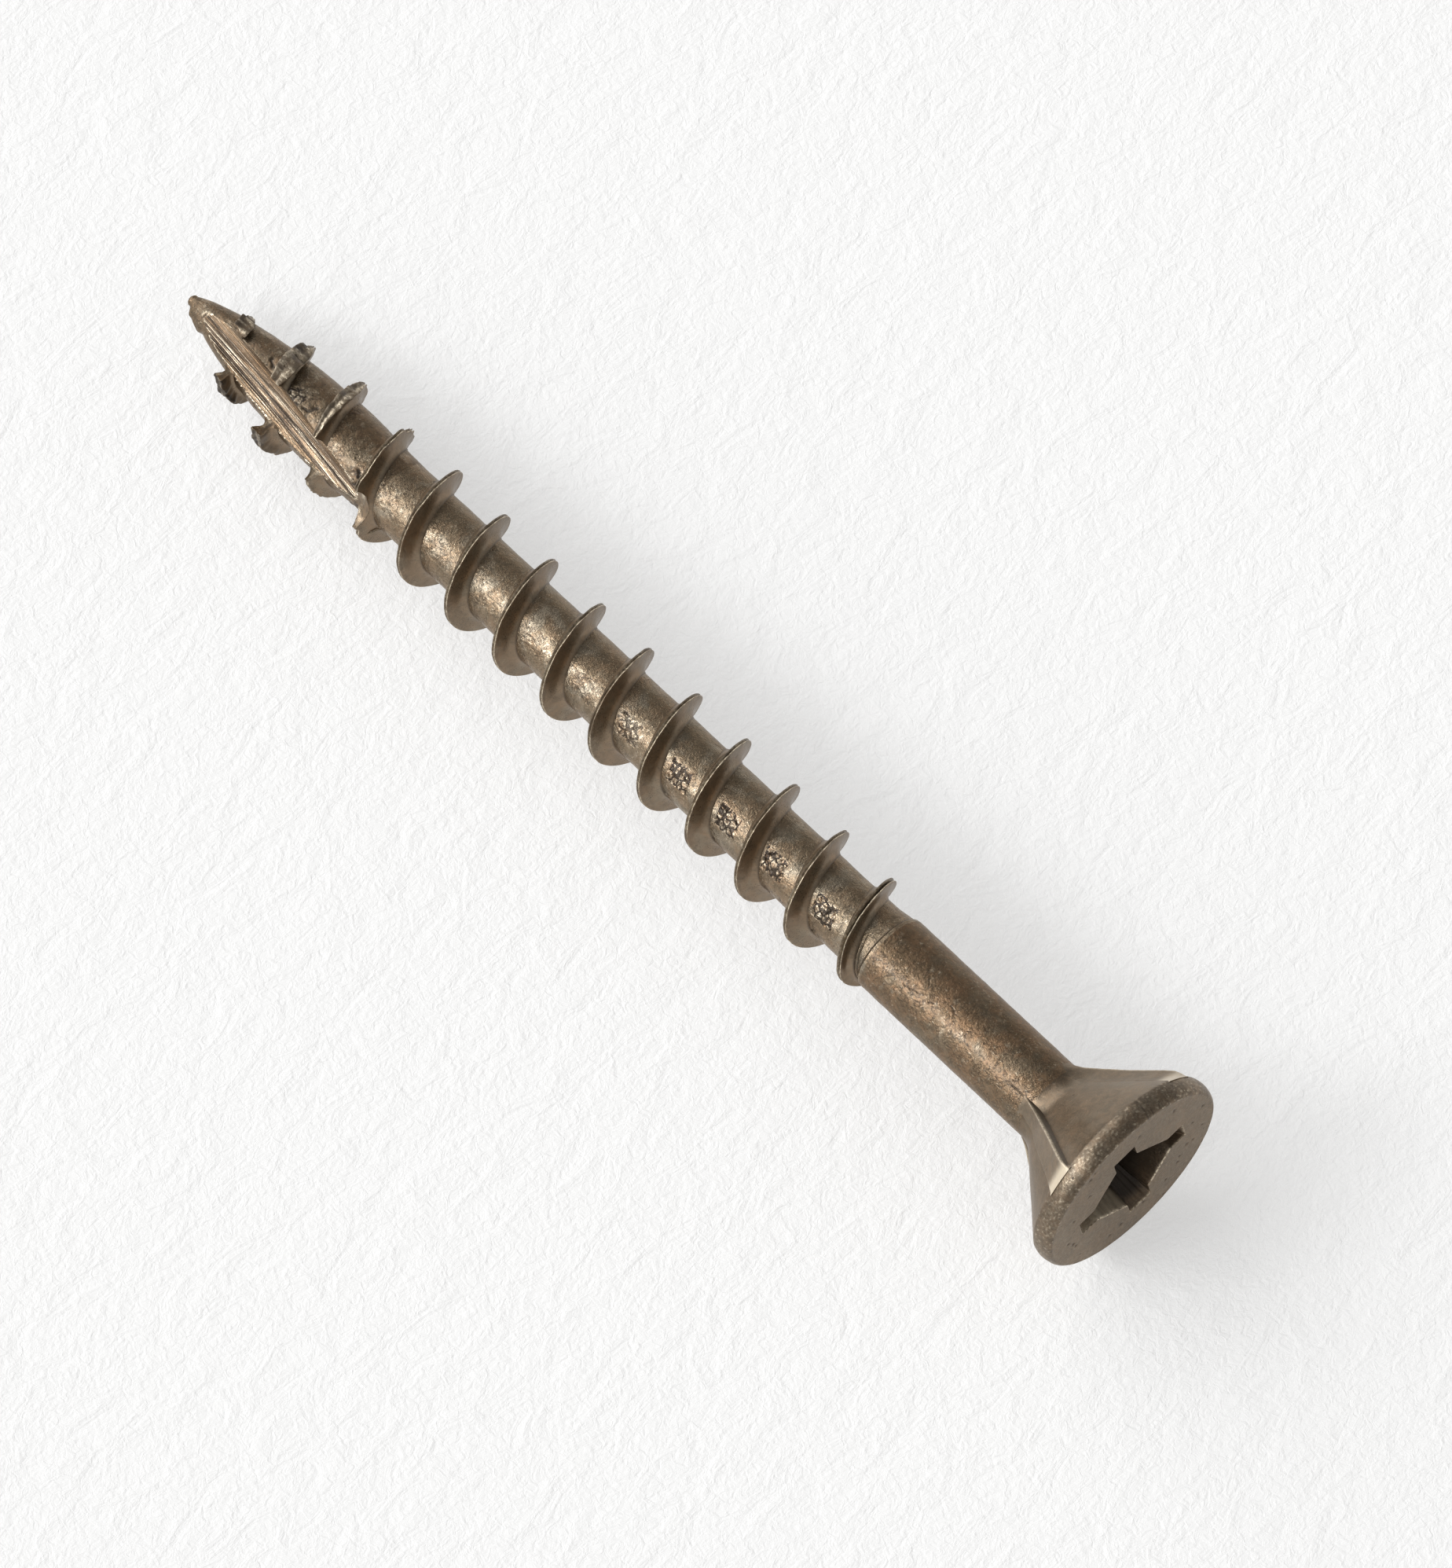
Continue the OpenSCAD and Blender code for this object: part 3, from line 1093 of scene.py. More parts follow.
class Repeat:
    """Geometry nodes that repeat a piece about the screw's axis."""

    @staticmethod
    def apply(piece: bpy.types.Object, count: int, material: bpy.types.Material) -> None:
        """Replaces a piece's mesh by copies of it about the axis.

        Args:
            piece: the object that holds one copy.
            count: how many copies.
            material: the material of all of them.
        """
        tree = bpy.data.node_groups.new("repeat_about_axis", "GeometryNodeTree")
        for way, kind, label in (("INPUT", "NodeSocketGeometry", "Piece"),
                                 ("INPUT", "NodeSocketInt", "Count"),
                                 ("INPUT", "NodeSocketMaterial", "Finish"),
                                 ("OUTPUT", "NodeSocketGeometry", "Result")):
            tree.interface.new_socket(label, in_out=way, socket_type=kind)
        g = Graph(tree)
        given = g.node("NodeGroupInput")
        points = g.node("GeometryNodePoints", inputs={"Count": given.outputs["Count"]})
        step = math.tau / g.signal(given.outputs["Count"])
        turn = g.signal(g.node("GeometryNodeInputIndex").outputs[0]) * step
        placed = g.node("GeometryNodeInstanceOnPoints", inputs={
            "Points": points.outputs[0], "Instance": given.outputs["Piece"], "Rotation": g.vector(turn)})
        g.hand_over(placed.outputs[0], given.outputs["Finish"])
        bake(piece, tree, {"Count": count, "Finish": material})


def bake(piece: bpy.types.Object, tree: bpy.types.NodeTree, inputs: dict[str, object]) -> None:
    """Runs geometry nodes on a piece and keeps the result as its plain mesh.

    Args:
        piece: the object.
        tree: the node group.
        inputs: the group's inputs by name.
    """
    modifier = piece.modifiers.new("build", "NODES")
    modifier.node_group = tree
    for item in tree.interface.items_tree:
        if item.item_type == "SOCKET" and item.in_out == "INPUT" and item.name in inputs:
            modifier[item.identifier] = inputs[item.name]
    apply_modifiers(piece)


def drop_crumbs(piece: bpy.types.Object, least: int) -> None:
    """Deletes the loose bits of a mesh that have fewer vertices than a limit.

    Args:
        piece: the object.
        least: the limit.
    """
    work = bmesh.new()
    work.from_mesh(piece.data)
    left = set(work.verts)
    while left:
        island, edge = set(), {left.pop()}
        while edge:
            island |= edge
            edge = {e.other_vert(v) for v in edge for e in v.link_edges} - island
        left -= island
        if len(island) < least:
            bmesh.ops.delete(work, geom=list(island), context="VERTS")
    work.to_mesh(piece.data)
    work.free()


def apply_modifiers(piece: bpy.types.Object) -> None:
    """Replaces a piece's mesh by what its modifiers make of it, and removes them.

    Args:
        piece: the object.
    """
    bpy.context.view_layer.update()
    seen = piece.evaluated_get(bpy.context.evaluated_depsgraph_get())
    mesh = bpy.data.meshes.new_from_object(seen)
    piece.modifiers.clear()
    old, piece.data = piece.data, mesh
    bpy.data.meshes.remove(old)
    mesh.name = piece.name


@dataclass
class Nibs(Region):
    """The four ribs under the head, each with one steep side and one that runs out into the cone."""

    nodes: tuple[str, ...] = ("underhead_nibs",)
    slot: str = "head_coating"
    finish: Finish = Finish.HEAD
    angle: float = 35.0
    head: Head | None = None
    count: int = 4
    crest: tuple[tuple[float, float], ...] = (
        (0.60, 3.44), (0.8, 3.41), (1.0, 3.33), (1.25, 3.14), (1.5, 2.93), (2.2, 2.34), (2.9, 1.80),
        (3.3, 1.50), (3.6, 1.34), (3.9, 1.24))

    def build(self) -> bpy.types.Object:
        """Builds one nib as rings along the cone.

        Returns:
            The piece, holding one nib.
        """
        noise = Noise(self.seed)
        depth = np.linspace(0.60, 3.85, 84)
        knots = np.array(self.crest)
        crest = np.interp(depth, knots[:, 0], knots[:, 1])
        base = self._cone_radius(depth)
        sweep = 17.0 + 10.0 * ease(1.0, 3.3, depth)
        rise = np.maximum(crest - base, -0.02)
        gentle = np.linspace(0.0, 1.12, 26)
        fall = np.maximum(1.0 - gentle, 0.0) ** 1.7
        across = np.concatenate([[-0.16, -0.11, -0.06, -0.02], gentle, [1.0, 0.6, 0.2]])
        shape = np.concatenate([[-0.35, 0.05, 0.62, 0.93], fall[:-3], [-0.02, -0.10, -0.25],
                                [-0.6, -0.8, -0.6]])
        reach = rise[:, None] * shape[None, :]
        reach = np.where(shape[None, :] < 0.0, shape[None, :] * 0.12, reach)
        radius = base[:, None] + reach
        angle = self.angle + 1.0 + sweep[:, None] * across[None, :] / 1.12
        rings = around(depth[:, None] + 0.0 * radius, radius, angle)
        rings[..., 1:] *= (1.0 - 0.006 * np.abs(noise(rings, 0.3)))[..., None]
        limit = self.screw.head_r - 0.01
        size = np.linalg.norm(rings[..., 1:], axis=-1)
        rings[..., 1:] *= np.minimum(1.0, limit / size)[..., None]
        # Painted light and shade: the end facet at the rim gets a painted highlight and the steep wall painted
        # shade; the crest is paler and worn.
        top = bell(across, 0.0, 0.05)[None, :] * ease(0.05, 0.2, rise)[:, None]
        end = (1.0 - ease(0.7, 1.1, depth))[:, None] * (across > -0.05)[None, :]
        wall = ((across < -0.03) & (shape < 0.8))[None, :] * ease(0.02, 0.1, rise)[:, None]
        pale = np.clip(end + 0.35 * top + 0.10, 0.0, 1.0)
        return tube(self.name, rings, {"worn": 0.35 * top + 0.0 * radius, "pale": pale,
                                       "grime": 0.65 * wall + 0.0 * radius}, 50.0)

    def _cone_radius(self, depth: np.ndarray) -> np.ndarray:
        """Radius of the cone and fillet.

        Args:
            depth: depths below the face.

        Returns:
            The radius at each depth.
        """
        head = self.head
        slope = math.tan(math.radians(head.half_angle))
        cone = head.cone_r - (depth - head.cone_start) * slope
        start = math.radians(180.0 - head.half_angle)
        fillet_start = self.screw.head_end - head.neck_fillet * math.sin(start)
        drop = np.clip(self.screw.head_end - depth, 0.0, head.neck_fillet)
        arc = self.screw.shank_r + head.neck_fillet - np.sqrt(head.neck_fillet**2 - drop**2)
        neck = np.where(depth < self.screw.head_end, arc, self.screw.shank_r)
        return np.where(depth < fillet_start, cone, neck)


@dataclass
class Shank(Region):
    """The smooth shank."""

    nodes: tuple[str, ...] = ("shank",)
    slot: str = "shank_coating"
    finish: Finish = Finish.SHANK

    def build(self) -> bpy.types.Object:
        """Builds the shank with its fine dents, scratches and the seam below the nib.

        Returns:
            The piece.
        """
        noise, rng = Noise(self.seed), np.random.default_rng(self.seed)
        s = self.screw
        angle = uneven_angles(300, 95.0, 165.0, 0.42)
        depth = np.linspace(s.head_end, s.shank_end, 240)[:, None]
        base = around(depth, s.shank_r, angle[None, :])
        ends = ease(s.head_end, s.head_end + 0.15, depth) * ease(s.shank_end, s.shank_end - 0.15, depth)
        dents = 0.010 * noise.rough(base, 0.5) + 0.006 * noise(base, 0.09)
        grime = np.zeros_like(base[..., 0])
        scratch = scratches(depth, angle[None, :], s.shank_r, rng, 26, (s.head_end + 0.3, s.shank_end - 0.3),
                            (60.0, 190.0), (0.06, 0.22), 0.02)
        dents, grime = dents + 0.014 * scratch, grime + 0.6 * scratch
        seam = np.exp(-((((angle[None, :] - 125.0 - 1.5 * noise(base, 0.7)) / 1.1)) ** 2)) * (
            1.0 - ease(s.head_end + 0.6, s.head_end + 1.2, depth))
        dents, grime = dents + 0.015 * seam, grime + 0.7 * seam
        rings = around(depth, s.shank_r - ends * dents, angle[None, :])
        worn = 0.15 * ease(0.25, 0.5, noise.rough(base, 0.3)) + 0.0 * depth
        return tube(self.name, rings, {"worn": worn, "grime": np.clip(grime, 0.0, 1.0)})


@dataclass
class Collar(Region):
    """The step and taper where the shank ends and the thread begins."""

    nodes: tuple[str, ...] = ("collar",)
    slot: str = "shank_coating"
    finish: Finish = Finish.CORE

    def build(self) -> bpy.types.Object:
        """Builds the collar with its edge, its bump and the folds beside the thread.

        Returns:
            The piece.
        """
        noise = Noise(self.seed)
        s = self.screw
        angle = uneven_angles(280, 60.0, 200.0, 0.6)
        depth = np.linspace(s.shank_end, s.collar_end, 90)[:, None]
        base = around(depth, s.body_radius(depth), angle[None, :])
        edge = s.shank_end + 0.10 + 0.03 * noise(base, 1.1)
        patchy = ease(-0.2, 0.35, noise(base, 0.5))
        ridge = 0.009 * patchy * bell(depth, edge, 0.035)
        step = -0.045 * ease(0.0, 0.08, depth - edge) * (1.0 - ease(s.collar_end - 0.5, s.collar_end, depth))
        bump = 0.075 * bell(angle[None, :], 22.0, 12.0) * bell(depth, s.shank_end + 0.14, 0.13)
        grime = 0.85 * bell(depth, edge + 0.06, 0.022)
        worn = 0.3 * patchy * bell(depth, edge, 0.03)
        folds = np.zeros_like(base[..., 0])
        for offset, strength in ((0.20, 1.0), (0.29, 0.8), (0.40, 1.0)):
            line = s.crest_depth(angle, 6)[None, :] - offset + 0.03 * noise(base, 0.4)
            reach = ease(100.0, 150.0, angle[None, :]) * (1.0 - ease(210.0, 225.0, angle[None, :]))
            folds += strength * bell(depth, line, 0.030) * reach
        ends = ease(s.shank_end, s.shank_end + 0.03, depth) * ease(s.collar_end, s.collar_end - 0.08, depth)
        rough = 0.012 * noise.rough(base, 0.3)
        radius = s.body_radius(depth) + ends * (ridge + step + bump - rough - 0.050 * folds)
        rings = around(depth, radius, angle[None, :])
        return tube(self.name, rings, {"worn": np.clip(worn, 0.0, 1.0),
                                       "grime": np.clip(grime + 0.8 * folds, 0.0, 1.0)})


@dataclass
class Core(Region):
    """The root of the thread, with the cracked patches that the dies leave in each turn."""

    nodes: tuple[str, ...] = ("core",)
    slot: str = "thread_coating"
    finish: Finish = Finish.CORE
    patch_angle: float = 131.0

    def build(self) -> bpy.types.Object:
        """Builds the core.

        Returns:
            The piece.
        """
        noise, rng = Noise(self.seed), np.random.default_rng(self.seed)
        s = self.screw
        angle = uneven_angles(150, 96.0, 166.0, 0.42)
        depth = np.linspace(s.collar_end, s.point_start, 640)[:, None]
        base = around(depth, s.core_r, angle[None, :])
        cracked = np.zeros_like(base[..., 0])
        first = math.ceil(s.turns_at(s.point_start))
        last = math.floor(s.turns_at(s.collar_end))
        for turn in range(first - 1, last + 1):
            middle = s.crest_depth(self.patch_angle, -turn) + s.pitch * rng.uniform(0.50, 0.60)
            near_head = 1.0 - ease(s.collar_end + 1.0, s.point_start - 4.0, middle)
            cracked += self._patch(depth, angle[None, :], middle, 0.25 + 0.75 * near_head, noise, base)
        fading = 1.0 - 0.6 * ease(s.collar_end + 1.0, s.point_start - 6.0, depth)
        pitted = 1.2 * bell(angle[None, :], 62.0, 17.0) * ease(0.0, 0.20, noise.rough(base, 0.40, 4)) * fading
        lower = bell(angle[None, :], 182.0, 12.0) * ease(0.0, 0.25, noise.rough(base + 9.0, 0.5)) * fading
        ends = (ease(s.collar_end, s.collar_end + 0.08, depth)
                * ease(s.point_start, s.point_start - 0.08, depth))
        dents = 0.014 * noise.rough(base, 0.55) + 0.006 * noise(base, 0.1)
        broken = np.clip(cracked + pitted + 0.8 * lower, 0.0, 1.0)
        dents = dents + broken * 0.055 * noise.rough(base, 0.16)
        rings = around(depth, s.core_r - ends * (dents + 0.012 * broken), angle[None, :])
        # Painted highlight: the core is made paler in patches along the band about 128 degrees.
        worn = 0.3 * ease(0.05, 0.5, noise.rough(base, 0.35)) * bell(angle[None, :], 128.0, 30.0)
        grime = 0.9 * pitted * ease(0.05, 0.25, noise(base, 0.17))
        return tube(self.name, rings, {"worn": worn, "grime": np.clip(grime, 0.0, 1.0), "cracked": broken})

    def _patch(self, depth: np.ndarray, angle: np.ndarray, middle: float, strength: float, noise: Noise,
               base: np.ndarray) -> np.ndarray:
        """Marks one cracked patch, a rectangle with a ragged outline.

        Args:
            depth: depths of the surface's points.
            angle: their angles.
            middle: the depth of the patch's middle.
            strength: how badly it is cracked.
            noise: the noise of its outline.
            base: the surface's points.

        Returns:
            The mark at each point, from 0 to 1.
        """
        along = depth - middle + 0.004 * (angle - self.patch_angle) + 0.06 * noise(base, 0.2)
        side = np.radians(angle - self.patch_angle) * self.screw.core_r + 0.06 * noise(base + 4.0, 0.2)
        return strength * ease(0.43, 0.39, np.abs(along)) * ease(0.37, 0.33, np.abs(side))


@dataclass
class Slot:
    """The cutter's path that makes the slot in the point."""

    screw: Screw
    radius: float = 0.8
    near_tip: tuple[float, float] = (-0.774, 1.106)
    drift: tuple[float, float] = (-0.862, -0.308)
    drift_run: float = 5.5
    tip_gap: float = 2.2
    missed: float = 99.0

    def centre(self, depth: np.ndarray) -> tuple[np.ndarray, np.ndarray]:
        """Place of the cutter's centre across the axis at a depth."""
        t = (self.screw.length - self.tip_gap - np.asarray(depth, float)) / self.drift_run
        return self.near_tip[0] + self.drift[0] * t, self.near_tip[1] + self.drift[1] * t

    def reach(self, depth: np.ndarray, angle: np.ndarray) -> tuple[np.ndarray, np.ndarray]:
        """Distance from the axis to the cut, and how far round the cutter that place is.

        Args:
            depth: depths.
            angle: angles about the axis.

        Returns:
            The distance, which is large where the cutter isn't met, and the angle round the cutter.
        """
        y, z = self.centre(depth)
        away, toward = np.hypot(y, z), np.degrees(np.arctan2(z, y))
        off = (np.asarray(angle) - toward + 180.0) % 360.0 - 180.0
        cosine, sine = np.cos(np.radians(off)), np.sin(np.radians(off))
        inside = self.radius**2 - (away * sine) ** 2
        near_side = away * cosine - np.sqrt(np.maximum(inside, 0.0))
        hit = np.where((inside > 0.0) & (cosine > 0.0), near_side, self.missed)
        turn = np.degrees(np.arctan2(away * sine, np.sqrt(np.maximum(inside, 1e-9))))
        return hit, turn

    def cutter(self, noise: Noise) -> bpy.types.Object:
        """A rough round bar along the path, for cutting the thread.

        Args:
            noise: the noise that roughens it.

        Returns:
            The bar, which is only a tool.
        """
        depth = np.linspace(self.screw.point_start - 1.5, self.screw.length + 1.0, 130)
        angle = np.linspace(0.0, math.tau, 40, endpoint=False)
        y, z = self.centre(depth)
        rings = np.stack(np.broadcast_arrays(-depth[:, None], y[:, None] + self.radius * np.cos(angle),
                                             z[:, None] + self.radius * np.sin(angle)), axis=-1)
        centre = np.stack([-depth, y, z], axis=-1)[:, None, :]
        rings = centre + (rings - centre) * (1.0 + 0.10 * noise.rough(rings, 0.35))[..., None]
        return tube("slot_cutter", rings)


@dataclass
class Point(Region):
    """The ogive of the point, with the slot, its striations and its burred lips."""

    nodes: tuple[str, ...] = ("point",)
    slot: str = "point_coating"
    finish: Finish = Finish.POINT
    path: Slot | None = None
    tip_offset: float = 0.04
    tip_angle: float = 18.0

    def build(self) -> bpy.types.Object:
        """Builds the point.

        Returns:
            The piece.
        """
        noise = Noise(self.seed)
        s = self.screw
        angle = uneven_angles(300, 84.0, 196.0, 0.66)
        depth = np.concatenate([np.linspace(s.point_start, s.length - 1.0, 300),
                                np.linspace(s.length - 1.0, s.length, 34)[1:]])[:, None]
        plain = s.body_radius(depth) + 0.0 * angle
        base = around(depth, plain, angle[None, :])
        near_core = ease(s.point_start, s.point_start + 0.1, depth)
        dents = 0.02 * noise.rough(base, 0.7) + 0.007 * noise(base, 0.1)
        fading = 1.0 - 0.6 * ease(s.swell_at + 2.0, s.swell_at + 4.0, depth)
        cracks = ease(0.10, 0.35, noise.rough(base, 0.9)) * fading
        dents = dents + 0.03 * cracks * noise.rough(base, 0.14)
        torn = scratches(depth, angle[None, :], s.core_r, np.random.default_rng(self.seed + 1), 34,
                         (s.point_start + 0.3, s.length - 1.5), (15.0, 150.0), (0.25, 0.60), 0.05)
        dents = dents + 0.045 * torn
        plain = plain - near_core * dents * np.minimum(plain, 0.6) / 0.6
        cut, turn = self.path.reach(depth, angle[None, :])
        lines = self._striations(depth, turn, noise)
        floor = cut + 0.030 * lines
        in_slot = ease(-0.004, 0.012, plain - floor)
        lip = bell(floor - plain, 0.01, 0.035) * ease(0.0, 0.25, noise.rough(base, 0.25) + 0.15)
        radius = np.minimum(plain + 0.02 * lip * near_core, np.maximum(floor, 0.05))
        blunt = np.clip((depth - s.length + 0.10) / 0.10, 0.0, 1.0)
        radius = np.maximum(radius, 0.19 * ease(s.length - 0.6, s.length - 0.25, depth))
        hook = ease(s.length - 1.15, s.length - 0.85, depth)
        hook = hook * (1.0 - ease(s.length - 0.35, s.length - 0.18, depth))
        hook = hook * bell(angle[None, :], 192.0, 36.0) * (0.8 + 0.6 * noise(base, 0.2))
        radius = (radius + 0.12 * hook) * np.sqrt(1.0 - 0.6 * blunt**2)
        rings = around(depth, radius, angle[None, :])
        shift = self.tip_offset * ease(s.length - 3.5, s.length, depth[:, 0])
        rings[..., 1] += (shift * math.cos(math.radians(self.tip_angle)))[:, None]
        rings[..., 2] += (shift * math.sin(math.radians(self.tip_angle)))[:, None]
        marks = {"worn": np.clip(0.9 * lip + 0.2 * ease(0.1, 0.5, noise.rough(base, 0.4)), 0.0, 1.0),
                 "grime": np.clip(0.3 * cracks + 0.95 * torn, 0.0, 1.0) * (1.0 - in_slot),
                 "cracked": 0.75 * cracks * (1.0 - in_slot),
                 "slot": in_slot, "smooth": in_slot, "lane": np.radians(turn) * self.path.radius}
        return tube(self.name, rings, marks, 60.0)

    def _striations(self, depth: np.ndarray, turn: np.ndarray, noise: Noise) -> np.ndarray:
        """Lines that the cutter leaves along the slot.

        Args:
            depth: depths.
            turn: angles round the cutter.
            noise: the noise that draws the lines.

        Returns:
            Their height, from about -1 in a line to 0.3 between lines.
        """
        flat = np.broadcast_to(depth, turn.shape)
        lane = np.stack([turn / 10.0, flat / 7.0, 0.0 * turn], axis=-1)
        broad = noise(lane, 0.9)
        narrow = noise(lane * np.array([3.4, 1.3, 1.0]) + 5.0, 0.9)
        strength = ease(-60.0, -10.0, turn) * 0.8 + 0.2
        return (1.3 * broad + 0.8 * narrow) * strength - 0.12


@dataclass
class Flight(Region):
    """A stretch of the thread's flight, made by geometry nodes."""

    nodes: tuple[str, ...] = ("thread",)
    slot: str = "thread_coating"
    finish: Finish = Finish.THREAD
    from_depth: float = 0.0
    to_depth: float = 0.0
    tear: float = 0.0
    blunt: float = 0.0
    steps: int = 150
    stations: tuple[float, ...] = (0.0, 0.02, 0.04, 0.06, 0.08, 0.11, 0.16, 0.24, 0.34, 0.44, 0.54, 0.62,
                                   0.69, 0.75, 0.80, 0.88, 1.0)
    height_curve: tuple[tuple[float, float], ...] = (
        (0.0, 0.945), (0.02, 0.955), (0.04, 1.0), (0.06, 1.0), (0.08, 0.975), (0.11, 0.92), (0.16, 0.82),
        (0.24, 0.68), (0.34, 0.52), (0.44, 0.37), (0.54, 0.23), (0.62, 0.12), (0.69, 0.045), (0.75, 0.0),
        (0.80, -0.05), (1.0, -0.10))
    width_curve: tuple[tuple[float, float], ...] = (
        (0.0, 0.0), (0.02, 0.05), (0.04, 0.10), (0.06, 0.145), (0.08, 0.18), (0.11, 0.20), (0.16, 0.235),
        (0.24, 0.28), (0.34, 0.34), (0.44, 0.41), (0.54, 0.52), (0.62, 0.66), (0.69, 0.82), (0.75, 1.0),
        (0.80, 1.02), (0.88, 0.6), (1.0, 0.0))

    NUMBERS = ("First Turn", "Turns", "Pitch", "Phase", "Thread Radius", "Core Radius", "Shank Radius",
               "Shank End", "Collar End", "Point Start", "Swell", "Ogive", "Length", "Half Foot", "Tear",
               "Blunt", "Seed")

    def build(self, coat: bpy.types.Material) -> bpy.types.Object:
        """Builds the flight.

        Args:
            coat: the material that the tree sets.

        Returns:
            The piece.
        """
        s = self.screw
        first, last = s.turns_at(self.to_depth), s.turns_at(self.from_depth)
        rings = int((last - first) * self.steps)
        ways = np.array(self.stations)
        angle = math.pi * np.concatenate([ways, -ways[-2:0:-1]])
        height = np.linspace(0.0, 1.0, rings)[:, None] + 0.0 * angle
        start = np.stack([np.cos(angle) + 0.0 * height, np.sin(angle) + 0.0 * height, height], axis=-1)
        piece = tube(self.name, start / MM)
        bake(piece, self._tree(), {
            "First Turn": first, "Turns": last - first, "Pitch": s.pitch, "Phase": s.phase,
            "Thread Radius": s.thread_r, "Core Radius": s.core_r, "Shank Radius": s.shank_r,
            "Shank End": s.shank_end, "Collar End": s.collar_end, "Point Start": s.point_start,
            "Swell": s.swell_r, "Ogive": s.ogive_run, "Length": s.length, "Half Foot": 0.36,
            "Tear": self.tear, "Blunt": self.blunt, "Seed": float(self.seed), "Finish": coat})
        finish_mesh(piece, 60.0)
        return piece

    def _tree(self) -> bpy.types.NodeTree:
        """Nodes that bend a straight tube into the flight.

        The tube's height becomes the way along the helix, and the place round it becomes the place on the
        profile.

        Returns:
            The node group.
        """
        tree = bpy.data.node_groups.new(f"{self.name}_flight", "GeometryNodeTree")
        tree.interface.new_socket("Section", in_out="INPUT", socket_type="NodeSocketGeometry")
        for label in self.NUMBERS:
            tree.interface.new_socket(label, in_out="INPUT", socket_type="NodeSocketFloat")
        tree.interface.new_socket("Finish", in_out="INPUT", socket_type="NodeSocketMaterial")
        tree.interface.new_socket("Result", in_out="OUTPUT", socket_type="NodeSocketGeometry")
        g = Graph(tree)
        given = g.node("NodeGroupInput")
        get = {label: g.signal(given.outputs[label]) for label in self.NUMBERS}
        here = g.node("ShaderNodeSeparateXYZ", inputs={0: g.node("GeometryNodeInputPosition").outputs[0]})
        x, y, z = (g.signal(here.outputs[k]) for k in range(3))
        round_it = y.math("ARCTAN2", x) / math.pi
        way = abs(round_it)
        side = round_it.math("SIGN")
        turns = get["First Turn"] + get["Turns"] * z
        depth = -(get["Phase"] + get["Pitch"] * turns)

        def curve(points: Sequence) -> Signal:
            """Reads a curve at the place on the profile.

            Args:
                points: the curve's points.

            Returns:
                The curve's value.
            """
            low = min(v for _, v in points)
            span = max(v for _, v in points) - low
            made = g.node("ShaderNodeFloatCurve", {"curve": [(p, (v - low) / span) for p, v in points]},
                          {"Value": way})
            return g.signal(made.outputs[0]) * span + low

        rise_share, width_share = curve(self.height_curve), curve(self.width_curve)
        taper = self._line(depth, get["Shank End"], get["Collar End"])
        body = get["Shank Radius"] + (get["Core Radius"] - get["Shank Radius"]) * taper
        swell_at = get["Point Start"] + self.screw.swell_run
        body = body + (get["Swell"] - get["Core Radius"]) * depth.ramp_between(get["Point Start"], swell_at)
        past = ((depth - swell_at) / get["Ogive"]).most(0.0)
        body = body * (1.0 - past * past).most(0.0001) ** self.screw.ogive_power
        low_r = get["Thread Radius"] - 0.2
        crest = body + (low_r - body) * self._line(depth, get["Shank End"] + 0.05, get["Shank End"] + 0.5)
        crest = crest + (get["Thread Radius"] - low_r) * self._line(depth, get["Shank End"] + 0.5,
                                                                   get["Collar End"] + 1.4)
        late = ((depth - (get["Length"] - 6.2)) / 6.1).most(0.0)
        crest = crest - get["Thread Radius"] * late * late
        spot = g.vector(turns * 11.0, depth * 0.2, get["Seed"])
        wave = g.wrinkle(spot, 0.8, 3.0)
        chips = g.wrinkle(spot, 1.6, 4.0, Roughness=0.65)
        dots = g.wrinkle(spot, 4.5, 2.0)
        rag = g.wrinkle(g.vector(turns * 38.0, round_it * 9.0, get["Seed"]), 1.0, 3.0)
        loss = get["Tear"] * (chips - 0.42).most(0.0) * 4.0 + 0.05 * (wave - 0.35).most(0.0)
        rise = (crest - body).most(0.02)
        share = (rise / (get["Thread Radius"] - get["Core Radius"])).math("MINIMUM", 1.0)
        half = get["Half Foot"] * (0.35 + 0.65 * share)
        top = way.ramp(0.45, 0.1)
        folded = 1.0 - depth.ramp_between(get["Shank End"] + 0.9, get["Collar End"] + 1.0)
        fold = (1.0 - way.ramp(0.0, 0.05)) * (0.03 + 0.25 * folded)
        angle = turns.math("FRACT") * 360.0
        blunt = get["Blunt"] * angle.ramp(16.0, 55.0) * (1.0 - angle.ramp(85.0, 136.0))
        blunt = blunt * depth.ramp(33.4, 36.0)
        nub = get["Blunt"] * depth.ramp(38.2, 38.8) * angle.ramp(50.0, 62.0) * (1.0 - angle.ramp(84.0, 98.0))
        blunt = blunt.most(nub)
        squash = blunt * (0.10 + 0.15 * wave) * rise_share * top
        radius = body + rise * (rise_share - fold * (1.0 - blunt) - squash)
        radius = radius - loss * top * rise.math("MINIMUM", 0.5) * 2.0
        lean = (wave - 0.5) * 0.10 * top
        sharp = 1.0 + get["Tear"] * (chips - 0.5) * 0.8 * top
        lump = get["Blunt"] * angle.ramp(140.0, 165.0) * (1.0 - angle.ramp(205.0, 250.0))
        lump = lump * depth.ramp(35.4, 36.6) * (1.0 - depth.ramp(39.6, 40.2))
        radius = radius + lump * top * (0.12 + 0.14 * wave)
        radius = radius + (lump + 0.3 * blunt) * top * (rag - 0.5) * 0.45 * share
        radius = radius + nub * top * 0.10
        fat = (0.14 * folded + lump * 0.5 + blunt * (0.70 + 0.3 * wave)) * top * way.ramp(0.0, 0.08)
        shift = side * ((width_share * sharp + fat) * half + 0.08 * nub * top) + lean
        shift = shift + lump * top * (chips - 0.5) * 0.5
        turn = turns * math.tau
        place = g.vector((shift - depth) * MM, radius * turn.math("COSINE") * MM,
                         radius * turn.math("SINE") * MM)
